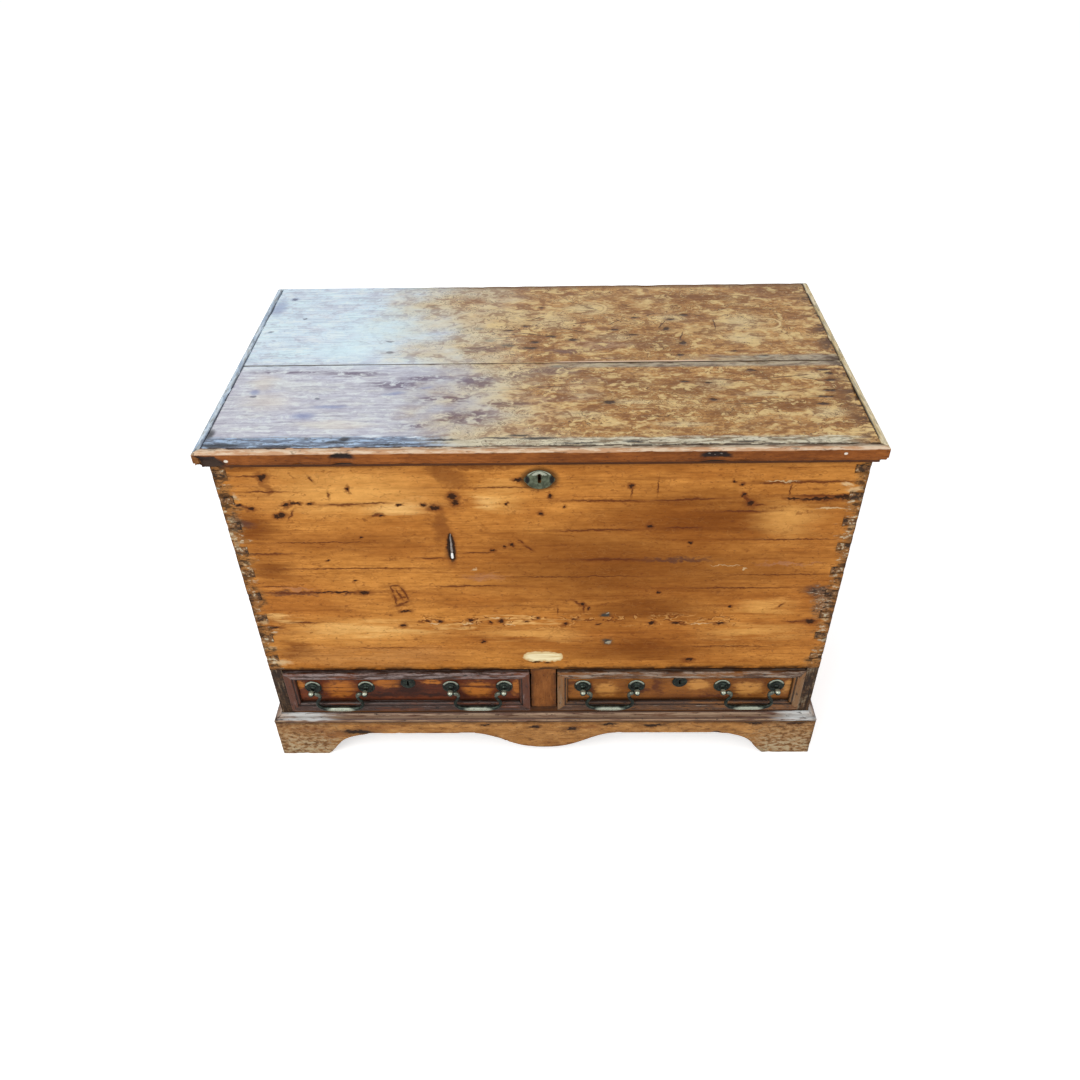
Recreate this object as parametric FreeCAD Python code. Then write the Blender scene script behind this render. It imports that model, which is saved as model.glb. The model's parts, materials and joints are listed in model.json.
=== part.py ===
import FreeCAD, Part
import math
import os

os.makedirs("parts", exist_ok=True)
V = FreeCAD.Vector

# Mule chest in pine: a lidded box over two drawers, on a bracket plinth. Millimetres, X along the
# width, Y from the front (-Y) to the back (+Y), Z up from the floor.

# Case
case_width = 1060.0
case_depth = 580.0
rim_z = 738.0             # top edge of the case
case_base_z = 70.0        # lower edge of the case boards, carried by the plinth
front_low_z = 240.0       # lower edge of the front board, top of the drawer opening
rail_top_z = 129.5        # top of the bottom rail and of the drawer runners
end_thick = 24.0
front_thick = 22.0
back_thick = 18.0
back_split_z = 420.0      # joint between the two back boards
muntin_width = 50.0

# Dovetails
pin_pitch = 54.0
pin_tip = 11.0            # height of a pin at the outer face
pin_root = 17.0           # height of a pin at the inner face

# Floors and drawer runners
floor_z = 244.0
floor_thick = 16.0
base_board_z = 88.0
base_board_thick = 18.0
housing_depth = 6.0       # how deep the floors are let into the ends
side_runner_width = 26.0
centre_runner_overhang = 18.0
guide_height = 20.0

# Plinth
plinth_thick = 15.0
plinth_top_z = 100.0
arch_z = 64.0             # height of the plinth's cut-out
foot_width = 95.0
foot_reach = 114.0        # length of the curve from a foot up to the arch
drop_half = 150.0         # half length of the shaped drop at the centre
drop_low_z = 19.0
plinth_moulding_height = 15.5
plinth_fillet = 4.0       # square edge under the moulding's ovolo
plinth_ovolo_high = 5.5
plinth_ovolo_out = 6.0
plinth_step = 2.0         # flat between ovolo and cove
plinth_moulding_edge = 1.5
block_size = 45.0
block_lift = 3.0

# Lid
lid_thick = 22.0
lid_gap = 0.4             # between the rim and the lid
lid_front_overhang = 8.0
lid_side_overhang = 2.0
lid_seam = 257.0          # front face of the case to the joint of the two lid boards
lid_moulding_width = 13.0
lid_moulding_drop = 12.4  # below the underside of the lid
lid_moulding_clear = 1.5  # between the moulding's lip and the case
lid_moulding_foot = 4.0   # flat under the moulding's cove
lid_cove_high = 9.0
lid_cove_out = 5.5
lid_fillet_out = 1.5      # small step over the cove
lid_fillet_high = 4.0
lid_nose_low = 2.5        # height of the curve under the nose
lid_nose_top = 6.0        # height of the curve over the nose
lid_nose_in = 5.0         # reach of the curve over the nose

# Strap hinges
hinge_x = 330.0
strap_width = 32.0
strap_tip_width = 22.0
strap_length = 420.0
strap_thick = 2.5
leaf_length = 92.0
knuckle_r = 5.5
hinge_out = 6.0           # axis behind the back of the case
pin_r = 2.5
pin_clear = 0.05
knuckle_gap = 0.4
centre_knuckle = 11.2
screw_r = 2.0
screw_head_r = 4.2
screw_length = 13.0
strap_screw_count = 5
strap_screw_back = 30.0   # first screw from the back of the case
strap_screw_tip = 18.0    # last screw from the strap's tip
leaf_screw_count = 3
leaf_screw_top = 14.0
leaf_screw_tip = 18.0
leaf_screw_side = 8.0     # screws of a leaf, left and right of its middle
leaf_top_gap = 2.0        # from the knuckle to the leaf's plate

# Chest lock
lock_width = 96.0
lock_high = 78.0          # from the rim down
lock_flange = 10.0        # of the lock's plate beyond its box
lock_screw_in = 5.0       # screws from the box, along the plate
lock_screw_low = 12.0
lock_screw_high = 14.0
lock_deep = 14.0
lock_wall = 2.0
staple_x = 25.0
staple_thick = 3.0
staple_wide = 9.0
staple_eye_wide = 5.6
staple_eye_high = 8.0
staple_drop = 21.0
staple_clear = 0.6        # round a staple in the lock's slots
link_plate_thick = 2.0
link_plate_width = 90.0
link_plate_edge = 3.0     # of the plate beyond the staples
tongue_high = 6.0
tongue_length = 9.0
tongue_clear = 0.5        # from a tongue's tip to its staple, unlocked
riser_width = 7.0
bolt_thick = 4.4
bolt_drop = 32.0          # bolt's lower edge below the rim
bolt_bar_high = 8.0
bolt_ledge_high = 6.0
bolt_ledge_long = 12.0
bolt_clear = 0.3
keyhole_width = 3.6
keyhole_height = 18.0
keyhole_drop = 46.0       # middle of the keyhole below the rim
escutcheon_drop = 48.5
escutcheon_width = 51.0
escutcheon_height = 37.0
escutcheon_thick = 1.8
escutcheon_tip = 8.0      # length of the point at each end of the oval
escutcheon_round = 3.0    # of the point beyond the oval
sprig_r = 1.3
sprig_in = 4.0            # sprigs from the edge of their plate
sprig_length = 10.0
sprig_head = 0.6

# Old nail in its worn slot, left of the keyhole
slot_x = -154.0
slot_low_z = 519.0
slot_high_z = 577.0
slot_width = 8.0
slot_top_width = 3.2
slot_depth = 5.0
nail_r = 1.4
nail_head_r = 2.5

# Till, inside at the left end
till_width = 120.0
till_height = 100.0
till_board = 10.0
till_drop = 136.0         # top of the till below the rim
till_lid_edge = 4.0       # of the lid beyond the till's side
till_lid_thick = 10.0
till_pivot_in = 8.0       # pivot from the inner face of the end
till_lid_heel = 5.4
till_pivot_r = 4.0
till_pivot_length = 8.0
till_clear = 0.4

# Drawers
drawer_gap = 2.0          # beside and above each drawer front
drawer_run = 0.3          # under each drawer
drawer_stop = 17.0        # from the closed drawer to the back board
drawer_front_thick = 22.0
drawer_side_thick = 11.0
drawer_side_drop = 13.0   # sides below the top of the front
drawer_tail_length = 14.0
drawer_bottom_up = 7.5
drawer_bottom_thick = 7.0
drawer_groove = 5.0
drawer_mould_width = 21.0
drawer_mould_proud = 10.0
drawer_mould_flat = 14.0
drawer_mould_arris = 1.0  # rounding of the outer edge
drawer_mould_quirk = 1.2  # small step between the flat and the ovolo
drawer_mould_edge = 1.6   # thickness at the inner edge

# Drawer locks
dlock_half = 30.0
dlock_high = 58.0
dlock_front_wood = 12.0   # wood left in front of the lock
dlock_deep = 12.0
dlock_wall = 1.6
dbolt_half = 9.0
dbolt_thick = 5.0
dbolt_high = 24.0
dbolt_throw = 6.0
descutcheon_r = 14.5
descutcheon_z = 202.0
dkeyhole_height = 12.0

# Swan-neck handles
handle_inset = 102.5      # handle centre from the drawer's end
handle_z = 191.0
post_span = 105.0
post_out = 18.5           # bail axis in front of the drawer front
post_head_r = 6.0
post_shank_r = 3.5
rosette_r = 17.0
rosette_thick = 3.2
rosette_edge = 1.4        # thickness at the rim
rosette_bead = 2.2        # thickness of the bead inside the rim
rosette_bead_in = 2.5     # bead from the rim
rosette_dish_in = 5.0     # dish from the rim
rosette_boss = 1.5        # boss round the post's head
nut_size = 10.0
nut_thick = 4.0
shank_past_nut = 2.0
bail_pin_r = 2.0
bail_pin_clear = 0.08
bail_r = 3.2
bail_grip_r = 4.7
bail_drop = 43.0
bail_neck_x = 37.0
bail_neck_down = 13.0
bail_hip_x = 43.0
bail_hip_down = 26.0
bail_hip_in = 4.0         # lower corner in from the hip
bail_bends = [5.0, 9.0, 11.0, 8.0]
bail_grip_in = 14.0       # swelled grip's end in from the hip
bail_grip_lap = 0.3       # how far the grip's ends lie inside the bar
bail_pin_short = 1.0      # pin's end inside the post's head
bail_shoulder_gap = 0.3

half = case_width / 2
inner = half - end_thick
lid_low_z = rim_z + lid_gap
lid_top_z = lid_low_z + lid_thick
reach_front = post_out + max(post_head_r, bail_grip_r)
reach_back = hinge_out + knuckle_r
front = reach_front - (reach_front + case_depth + reach_back) / 2
back = front + case_depth
floor_top_z = floor_z + floor_thick
base_board_top_z = base_board_z + base_board_thick
axis_y = back + hinge_out
axis_z = lid_low_z
lock_y = front + front_thick
bolt_y = lock_y + lock_deep / 2
drawer_in = muntin_width / 2 + drawer_gap
drawer_out = inner - drawer_gap
drawer_low = rail_top_z + drawer_run
drawer_top = front_low_z - drawer_gap
drawer_centre = (drawer_in + drawer_out) / 2
drawer_back_y = back - back_thick - drawer_stop
drawer_side_top = drawer_top - drawer_side_drop
drawer_floor_z = drawer_low + drawer_bottom_up
lock_low_z = rim_z - lock_high
bolt_low_z = rim_z - bolt_drop
keyhole_z = rim_z - keyhole_drop
escutcheon_z = rim_z - escutcheon_drop
till_top_z = rim_z - till_drop
leaf_top_z = axis_z - knuckle_r - leaf_top_gap
till_x = -inner + till_width
till_pivot_x = -inner + till_pivot_in
till_pivot_z = till_top_z + till_clear + till_lid_thick / 2


def box(x0, x1, y0, y1, z0, z1):
    return Part.makeBox(x1 - x0, y1 - y0, z1 - z0, V(x0, y0, z0))


def rod(start, direction, radius, length):
    return Part.makeCylinder(radius, length, start, direction)


def face_of(edges):
    return Part.Face(Part.Wire(edges))


def polygon_edges(points):
    closed = points + points[:1]
    return [Part.LineSegment(a, b).toShape() for a, b in zip(closed, closed[1:])]


def slab(points, travel):
    """A flat polygon pushed along a vector."""
    return face_of(polygon_edges(points)).extrude(travel)


def mirrored(shape):
    return shape.mirror(V(0, 0, 0), V(1, 0, 0))


def group(shapes):
    return Part.makeCompound(shapes)


def cut_all(shape, tools):
    for tool in tools:
        shape = shape.cut(tool)
    return shape


def save(name, shape):
    solids = shape.Solids
    keep = solids[0] if len(solids) == 1 else Part.makeCompound(solids)
    keep.exportStep("parts/" + name + ".step")


# Dovetailed corners: the ends carry the pins, the front and back boards the tails.


def pin_row(y0, y1, z0, z1):
    """Pins of the right-hand end between two heights, for a board from y0 to y1."""
    count = int((z1 - z0) // pin_pitch)
    start = (z0 + z1 - count * pin_pitch) / 2
    pins = []
    for i in range(count):
        z = start + (i + 0.5) * pin_pitch
        corners = [
            V(inner, y0, z - pin_root / 2),
            V(half, y0, z - pin_tip / 2),
            V(half, y0, z + pin_tip / 2),
            V(inner, y0, z + pin_root / 2),
        ]
        pins.append(slab(corners, V(0, y1 - y0, 0)))
    return pins


def front_pins():
    return pin_row(front, front + front_thick, front_low_z, rim_z)


def back_pins():
    low = pin_row(back - back_thick, back, case_base_z, back_split_z)
    return low + pin_row(back - back_thick, back, back_split_z, rim_z)


def chest_floor():
    reach = inner + housing_depth
    return box(-reach, reach, front + front_thick, back - back_thick, floor_z, floor_top_z)


def base_board():
    reach = inner + housing_depth
    y0 = front + front_thick
    return box(-reach, reach, y0, back - back_thick, base_board_z, base_board_top_z)


def right_end():
    body = box(inner, half, front + front_thick, back - back_thick, case_base_z, rim_z)
    toe = box(inner, half, front, front + front_thick, case_base_z, front_low_z)
    body = body.multiFuse([toe] + front_pins() + back_pins()).removeSplitter()
    return cut_all(body, [chest_floor(), base_board()])


def keyhole(x, z, height, y0, y1):
    r = keyhole_width / 2
    low = z - height / 2 + r
    high = z + height / 2 - r
    slot = box(x - r, x + r, y0, y1, low, high)
    ends = [rod(V(x, y0, h), V(0, 1, 0), r, y1 - y0) for h in (low, high)]
    return slot.multiFuse(ends).removeSplitter()


def worn_slot():
    """A teardrop recess: a round foot under a long narrow top."""
    r = slot_width / 2
    t = slot_top_width / 2
    z = slot_low_z + r
    foot = rod(V(slot_x, front, z), V(0, 1, 0), r, slot_depth)
    taper = slab(
        [V(slot_x - r, front, z), V(slot_x + r, front, z), V(slot_x + t, front, slot_high_z),
         V(slot_x - t, front, slot_high_z)],
        V(0, slot_depth, 0),
    )
    return foot.fuse(taper).removeSplitter()


def old_nail():
    """A bent nail lying in the slot, its head at the round foot."""
    y = front + slot_depth
    foot = V(slot_x, y - nail_head_r, slot_low_z + slot_width / 2)
    head = Part.makeSphere(nail_head_r, foot)
    shank = rod(V(slot_x, y - nail_r, foot.z), V(0, 0, 1), nail_r, slot_high_z - slot_width / 2 - foot.z)
    return head.fuse(shank).removeSplitter()


def sprigs(x, z, out):
    """Two small round nails through a plate on the front, left and right of its keyhole."""
    y0 = front - escutcheon_thick - sprig_head
    return [rod(V(x + s * out, y0, z), V(0, 1, 0), sprig_r, sprig_length) for s in (-1, 1)]


def sprigs_of_chest_escutcheon():
    return sprigs(0, escutcheon_z, escutcheon_width / 2 - sprig_in)


def till_pivots():
    """Round pivots of the till lid, running into the front and back boards."""
    y0 = front + front_thick - till_pivot_length
    y1 = back - back_thick + till_pivot_length
    return y0, y1


def till_pivot_holes():
    y0, y1 = till_pivots()
    start = V(till_pivot_x, y0 - till_clear, till_pivot_z)
    return rod(start, V(0, 1, 0), till_pivot_r + bail_pin_clear, y1 - y0 + 2 * till_clear)


def front_board():
    board = box(-half, half, front, front + front_thick, front_low_z, rim_z)
    pins = front_pins()
    cuts = pins + [mirrored(p) for p in pins]
    cuts.append(keyhole(0, keyhole_z, keyhole_height, front, front + front_thick))
    cuts.append(worn_slot())
    cuts.append(till_pivot_holes())
    cuts += sprigs_of_chest_escutcheon()
    cuts += [bolt_mortise(side) for side in (-1, 1)]
    cuts += lock_screws()
    return cut_all(board, cuts)


def bolt_mortise(side):
    """The pocket over a drawer lock, in the lower edge of the front board."""
    x = side * drawer_centre
    y = drawer_bolt_y()
    reach = dbolt_half + 1
    deep = dbolt_thick / 2 + 0.8
    return box(x - reach, x + reach, y - deep, y + deep, front_low_z, drawer_top + dbolt_throw + 1)


def back_board(z0, z1, extra):
    board = box(-half, half, back - back_thick, back, z0, z1)
    pins = back_pins()
    cuts = pins + [mirrored(p) for p in pins] + extra
    return cut_all(board, cuts)


def strap_notches():
    w = strap_width / 2 + 0.5
    z0 = lid_low_z - strap_thick - bolt_clear
    return [box(s * hinge_x - w, s * hinge_x + w, back - back_thick, back, z0, rim_z) for s in (-1, 1)]


def bottom_rail():
    return box(-inner, inner, front, front + front_thick, case_base_z, rail_top_z)


def muntin():
    w = muntin_width / 2
    return box(-w, w, front, front + front_thick, rail_top_z, front_low_z)


def runners():
    y0, y1 = front + front_thick, back - back_thick
    side = box(inner - side_runner_width, inner, y0, y1, base_board_top_z, rail_top_z)
    w = muntin_width / 2 + centre_runner_overhang
    return group([side, mirrored(side), box(-w, w, y0, y1, base_board_top_z, rail_top_z)])


def centre_guide():
    w = muntin_width / 2
    return box(-w, w, front + front_thick, back - back_thick, rail_top_z, rail_top_z + guide_height)


# Mitred frames: a profile pushed along each side, then trimmed to its own side of the mitre.


def around_front(inner_x, inner_y, out, lip, z0, z1):
    """The space of the front piece of a mitred frame round the front and the two ends."""
    return slab(
        [V(-inner_x - out, inner_y - out, z0), V(inner_x + out, inner_y - out, z0),
         V(inner_x - lip, inner_y + lip, z0), V(-inner_x + lip, inner_y + lip, z0)],
        V(0, 0, z1 - z0),
    )


def around_side(inner_x, inner_y, out, lip, z0, z1):
    return slab(
        [V(inner_x - lip, inner_y + lip, z0), V(inner_x + out, inner_y - out, z0),
         V(inner_x + out, back, z0), V(inner_x - lip, back, z0)],
        V(0, 0, z1 - z0),
    )


def foot_outline(x_foot, sign, y=None):
    """Curve from the inner toe of a bracket foot up to the arch. sign is the way it leans."""
    shares = [(0.0, 0.0), (0.16, 0.31), (0.33, 0.69), (0.55, 0.88), (0.78, 0.965), (1.0, 1.0)]
    points = []
    for along, up in shares:
        a = x_foot + sign * foot_reach * along
        points.append(V(a, 0, arch_z * up) if y is None else V(y, a, arch_z * up))
    curve = Part.BSplineCurve()
    curve.interpolate(points)
    return curve.toShape(), points[0], points[-1]


def drop_outline():
    shares = [(1.0, 0.0), (0.74, 0.18), (0.47, 0.64), (0.2, 0.955), (0.0, 1.0)]
    depth = arch_z - drop_low_z
    right = [V(drop_half * along, 0, arch_z - depth * down) for along, down in shares]
    left = [V(-p.x, 0, p.z) for p in reversed(right[:-1])]
    curve = Part.BSplineCurve()
    curve.interpolate(right + left)
    return curve.toShape(), right[0], left[-1]


def plinth_front():
    toe = half + plinth_thick
    rise_right, foot_right, arch_right = foot_outline(toe - foot_width, -1)
    rise_left, foot_left, arch_left = foot_outline(-toe + foot_width, 1)
    drop, drop_right, drop_left = drop_outline()
    line = Part.LineSegment
    edges = [
        line(V(toe, 0, 0), foot_right).toShape(), rise_right,
        line(arch_right, drop_right).toShape(), drop,
        line(drop_left, arch_left).toShape(), rise_left,
        line(foot_left, V(-toe, 0, 0)).toShape(),
        line(V(-toe, 0, 0), V(-toe, 0, plinth_top_z)).toShape(),
        line(V(-toe, 0, plinth_top_z), V(toe, 0, plinth_top_z)).toShape(),
        line(V(toe, 0, plinth_top_z), V(toe, 0, 0)).toShape(),
    ]
    face = Part.Face(Part.Wire(Part.__sortEdges__(edges)))
    face.translate(V(0, front - plinth_thick, 0))
    board = face.extrude(V(0, plinth_thick, 0))
    return board.common(around_front(half, front, plinth_thick, 0, 0, plinth_top_z))


def plinth_right():
    toe = front - plinth_thick
    x = half
    rise_front, foot_front, arch_front = foot_outline(toe + foot_width, 1, x)
    rise_back, foot_back, arch_back = foot_outline(back - foot_width, -1, x)
    line = Part.LineSegment
    edges = [
        line(V(x, toe, 0), foot_front).toShape(), rise_front,
        line(arch_front, arch_back).toShape(), rise_back,
        line(foot_back, V(x, back, 0)).toShape(),
        line(V(x, back, 0), V(x, back, plinth_top_z)).toShape(),
        line(V(x, back, plinth_top_z), V(x, toe, plinth_top_z)).toShape(),
        line(V(x, toe, plinth_top_z), V(x, toe, 0)).toShape(),
    ]
    face = Part.Face(Part.Wire(Part.__sortEdges__(edges)))
    board = face.extrude(V(plinth_thick, 0, 0))
    return board.common(around_side(half, front, plinth_thick, 0, 0, plinth_top_z))


def rear_bracket():
    """The right rear bracket, across the back behind the side plinth."""
    x_foot = half + plinth_thick - foot_width
    rise, foot, arch = foot_outline(x_foot, -1)
    line = Part.LineSegment
    top_in = V(arch.x, 0, case_base_z)
    edges = [
        line(V(half, 0, 0), foot).toShape(), rise, line(arch, top_in).toShape(),
        line(top_in, V(half, 0, case_base_z)).toShape(),
        line(V(half, 0, case_base_z), V(half, 0, 0)).toShape(),
    ]
    face = Part.Face(Part.Wire(Part.__sortEdges__(edges)))
    face.translate(V(0, back - plinth_thick, 0))
    return face.extrude(V(0, plinth_thick, 0))


def corner_blocks():
    y_back = back - plinth_thick
    x0 = half - block_size
    near = box(x0, half, front, front + block_size, block_lift, case_base_z)
    far = box(x0, half, y_back - block_size, y_back, block_lift, case_base_z)
    return group([near, far, mirrored(near), mirrored(far)])


def arc(a, mid, b):
    return Part.Arc(a, mid, b).toShape()


def round_corner(a, b, bulge):
    """An arc from a to b, in the plane of the profile, bulging by a share of the chord."""
    chord = b - a
    side = V(chord.y, -chord.x, 0) * bulge
    return arc(a, (a + b) / 2 + side, b)


def chain(points, bulges):
    """A closed flat outline in XY: bulge 0 is a straight edge."""
    edges = []
    closed = points + points[:1]
    for a, b, bulge in zip(closed, closed[1:], bulges):
        edges.append(round_corner(a, b, bulge) if bulge else Part.LineSegment(a, b).toShape())
    return face_of(edges)


def stand(face, along_x, x, y):
    """Turn a profile drawn as (outward, height) to face -Y, or +X, at a place."""
    face.rotate(V(0, 0, 0), V(1, 0, 0), 90)
    face.rotate(V(0, 0, 0), V(0, 0, 1), 0 if not along_x else -90)
    face.translate(V(x, y, 0))
    return face


def plinth_profile():
    z0 = plinth_top_z
    z1 = z0 + plinth_fillet
    z2 = z1 + plinth_ovolo_high
    top = z0 + plinth_moulding_height
    out = plinth_thick - plinth_ovolo_out
    points = [
        V(0, z0, 0), V(plinth_thick, z0, 0), V(plinth_thick, z1, 0), V(out, z2, 0),
        V(out - plinth_step, z2, 0), V(plinth_moulding_edge, top, 0), V(0, top, 0),
    ]
    return chain(points, [0, 0, 0.2, 0, -0.2, 0, 0])


def lid_profile(lip):
    low = lid_low_z - lid_moulding_drop
    w = lid_moulding_width
    foot = lid_moulding_foot
    cove_top = low + lid_cove_high
    step = foot + lid_cove_out + lid_fillet_out
    step_top = cove_top + lid_fillet_high
    points = [
        V(-lip, low, 0), V(foot, low, 0), V(foot + lid_cove_out, cove_top, 0), V(step, cove_top, 0),
        V(step, step_top, 0), V(w, step_top + lid_nose_low, 0), V(w, lid_top_z - lid_nose_top, 0),
        V(w - lid_nose_in, lid_top_z, 0), V(0, lid_top_z, 0), V(0, lid_low_z, 0), V(-lip, lid_low_z, 0),
    ]
    return chain(points, [0, -0.2, 0, 0, 0.2, 0, 0.2, 0, 0, 0, 0])


def front_strip(face, inner_x, inner_y, out, lip, z0, z1):
    reach = inner_x + out
    strip = stand(face, True, -reach, inner_y).extrude(V(2 * reach, 0, 0))
    return strip.common(around_front(inner_x, inner_y, out, lip, z0, z1))


def side_strip(face, inner_x, inner_y, out, lip, z0, z1):
    strip = stand(face, False, inner_x, inner_y - out).extrude(V(0, back - inner_y + out, 0))
    return strip.common(around_side(inner_x, inner_y, out, lip, z0, z1))


def plinth_moulding_front():
    top = plinth_top_z + plinth_moulding_height
    return front_strip(plinth_profile(), half, front, plinth_thick, 0, plinth_top_z, top)


def plinth_moulding_right():
    top = plinth_top_z + plinth_moulding_height
    return side_strip(plinth_profile(), half, front, plinth_thick, 0, plinth_top_z, top)


# Lid

lid_x = half + lid_side_overhang
lid_y = front - lid_front_overhang


def lid_moulding_front():
    lip = lid_front_overhang - lid_moulding_clear
    low = lid_low_z - lid_moulding_drop
    return front_strip(lid_profile(lip), lid_x, lid_y, lid_moulding_width, lip, low, lid_top_z)


def lid_moulding_right():
    lip = lid_side_overhang - lid_moulding_clear
    low = lid_low_z - lid_moulding_drop
    return side_strip(lid_profile(lip), lid_x, lid_y, lid_moulding_width, lip, low, lid_top_z)


def screw(place, into):
    """A countersunk screw: the head's face at place, the shank running along into."""
    sink = screw_head_r - screw_r
    head = Part.makeCone(screw_head_r, screw_r, sink, place, into)
    return head.fuse(rod(place + into * sink, into, screw_r, screw_length - sink)).removeSplitter()


def spread(first, last, count):
    """Evenly spaced places from first to last."""
    return [first + (last - first) * i / (count - 1) for i in range(count)]


def strap_screws():
    z = lid_low_z - strap_thick
    spots = spread(back - strap_screw_back, back - strap_length + strap_screw_tip, strap_screw_count)
    return [screw(V(s * hinge_x, y, z), V(0, 0, 1)) for s in (-1, 1) for y in spots]


def leaf_screws():
    """Screws of the hinge leaves, stepping from side to side down each leaf."""
    heights = spread(leaf_top_z - leaf_screw_top, leaf_top_z - leaf_length + leaf_screw_tip, leaf_screw_count)
    screws = []
    for s in (-1, 1):
        for i, z in enumerate(heights):
            x = s * hinge_x + leaf_screw_side * (-1) ** i
            screws.append(screw(V(x, back + strap_thick, z), V(0, -1, 0)))
    return screws


def lock_screws():
    """Four screws of the chest lock, from the inside into the front board."""
    x = lock_width / 2 + lock_screw_in
    spots = [(s * x, z) for s in (-1, 1) for z in (lock_low_z + lock_screw_low, rim_z - lock_screw_high)]
    return [screw(V(a, lock_y + lock_wall, z), V(0, -1, 0)) for a, z in spots]


def lid_board(y0, y1):
    board = box(-lid_x, lid_x, y0, y1, lid_low_z, lid_top_z)
    return cut_all(board, strap_screws() + [link_plate_blank()])


def knuckle(x0, x1, bore):
    start = V(x0, axis_y, axis_z)
    tube = rod(start, V(1, 0, 0), knuckle_r, x1 - x0)
    return tube, rod(start, V(1, 0, 0), bore, x1 - x0)


def hinge_strap(x):
    w = strap_width / 2
    t = strap_tip_width / 2
    z0 = lid_low_z - strap_thick
    end = back - strap_length
    outline = [
        V(x - w, back - knuckle_gap, z0), V(x - t, end + t, z0), V(x - t * 0.55, end, z0),
        V(x + t * 0.55, end, z0), V(x + t, end + t, z0), V(x + w, back - knuckle_gap, z0),
    ]
    plate = slab(outline, V(0, 0, strap_thick))
    c = centre_knuckle / 2
    tab = box(x - c, x + c, back - knuckle_gap, axis_y, z0, lid_low_z)
    tube, bore = knuckle(x - c, x + c, pin_r + pin_clear)
    return plate.multiFuse([tab, tube]).removeSplitter().cut(bore)


def hinge_leaf(x):
    w = strap_width / 2
    c = centre_knuckle / 2 + knuckle_gap
    plate = box(x - w, x + w, back, back + strap_thick, leaf_top_z - leaf_length, leaf_top_z)
    parts = []
    bores = []
    for x0, x1 in ((x - w, x - c), (x + c, x + w)):
        parts.append(box(x0, x1, back, back + strap_thick, leaf_top_z, axis_z))
        tube, bore = knuckle(x0, x1, pin_r)
        parts.append(tube)
        bores.append(bore)
    return cut_all(plate.multiFuse(parts).removeSplitter(), bores)


def hinge_pin(x):
    return rod(V(x - strap_width / 2 - 1, axis_y, axis_z), V(1, 0, 0), pin_r, strap_width + 2)


# Chest lock: staples on the lid drop into the lock, and the bolt slides sideways through them.


def lock_case():
    w = lock_width / 2
    y0, y1 = lock_y, lock_y + lock_deep
    t = lock_wall
    shell = box(-w, w, y0, y1, lock_low_z, rim_z)
    flange_w = w + lock_flange
    flange = box(-flange_w, flange_w, y0, y0 + t, lock_low_z, rim_z)
    cavity = box(-w + t, w - t, y0 + t, y1 - t, lock_low_z + t, rim_z - t)
    solid = shell.fuse(flange).removeSplitter().cut(cavity)
    ledge_z = bolt_low_z - bolt_clear
    ledges = [box(a, a + bolt_ledge_long, y0 + t, y1 - t, ledge_z - bolt_ledge_high, ledge_z)
              for a in (bolt_left_x(), bolt_right_x() - bolt_ledge_long)]
    solid = solid.multiFuse(ledges).removeSplitter()
    side = staple_thick / 2 + staple_clear
    deep = staple_wide / 2 + staple_clear
    slots = [box(s * staple_x - side, s * staple_x + side, bolt_y - deep, bolt_y + deep, rim_z - t, rim_z)
             for s in (-1, 1)]
    hole = keyhole(0, keyhole_z, keyhole_height, y0, y0 + t)
    return cut_all(solid, slots + [hole] + lock_screws())


def bolt_left_x():
    return -staple_x - staple_thick / 2 - tongue_clear - tongue_length - riser_width


def bolt_right_x():
    return staple_x - staple_thick / 2 - tongue_clear - tongue_length


def lock_bolt():
    """A bar with two risers, each with a tongue towards its staple."""
    y0, y1 = bolt_y - bolt_thick / 2, bolt_y + bolt_thick / 2
    eye_z = lid_low_z - staple_drop + staple_thick
    tongue_low = eye_z + (staple_eye_high - tongue_high) / 2
    tongue_top = tongue_low + tongue_high
    bar = box(bolt_left_x(), bolt_right_x(), y0, y1, bolt_low_z, bolt_low_z + bolt_bar_high)
    parts = []
    for s in (-1, 1):
        tip = s * staple_x - staple_thick / 2 - tongue_clear
        root = tip - tongue_length
        parts.append(box(root - riser_width, root, y0, y1, bolt_low_z, tongue_top))
        parts.append(box(root, tip, y0, y1, tongue_low, tongue_top))
    return bar.multiFuse(parts).removeSplitter()


def link_plate_blank():
    w = link_plate_width / 2
    deep = staple_wide / 2 + link_plate_edge
    return box(-w, w, bolt_y - deep, bolt_y + deep, lid_low_z, lid_low_z + link_plate_thick)


def link_plate():
    parts = []
    holes = []
    for s in (-1, 1):
        x0 = s * staple_x - staple_thick / 2
        x1 = x0 + staple_thick
        z0 = lid_low_z - staple_drop
        w = staple_wide / 2
        e = staple_eye_wide / 2
        parts.append(box(x0, x1, bolt_y - w, bolt_y + w, z0, lid_low_z))
        eye_z = z0 + staple_thick
        holes.append(box(x0, x1, bolt_y - e, bolt_y + e, eye_z, eye_z + staple_eye_high))
    return cut_all(link_plate_blank().multiFuse(parts).removeSplitter(), holes)


def chest_escutcheon():
    """An oval plate with a small point at each end."""
    a = escutcheon_width / 2
    b = escutcheon_height / 2
    y0 = front - escutcheon_thick
    centre = V(0, y0, escutcheon_z)
    oval = Part.Ellipse(centre + V(a - escutcheon_round, 0, 0), centre + V(0, 0, b), centre)
    plate = Part.Face(Part.Wire([oval.toShape()])).extrude(V(0, escutcheon_thick, 0))
    points = []
    t = escutcheon_tip
    for s in (-1, 1):
        root = centre + V(s * (a - t), 0, 0)
        points.append(slab([root + V(s * t, 0, 0), root + V(0, 0, t), root - V(0, 0, t)],
                           V(0, escutcheon_thick, 0)))
    plate = plate.multiFuse(points).removeSplitter()
    hole = keyhole(0, keyhole_z, keyhole_height, y0, front)
    return cut_all(plate, [hole] + sprigs_of_chest_escutcheon())


# Till: a small lidded tray across the left end.


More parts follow.
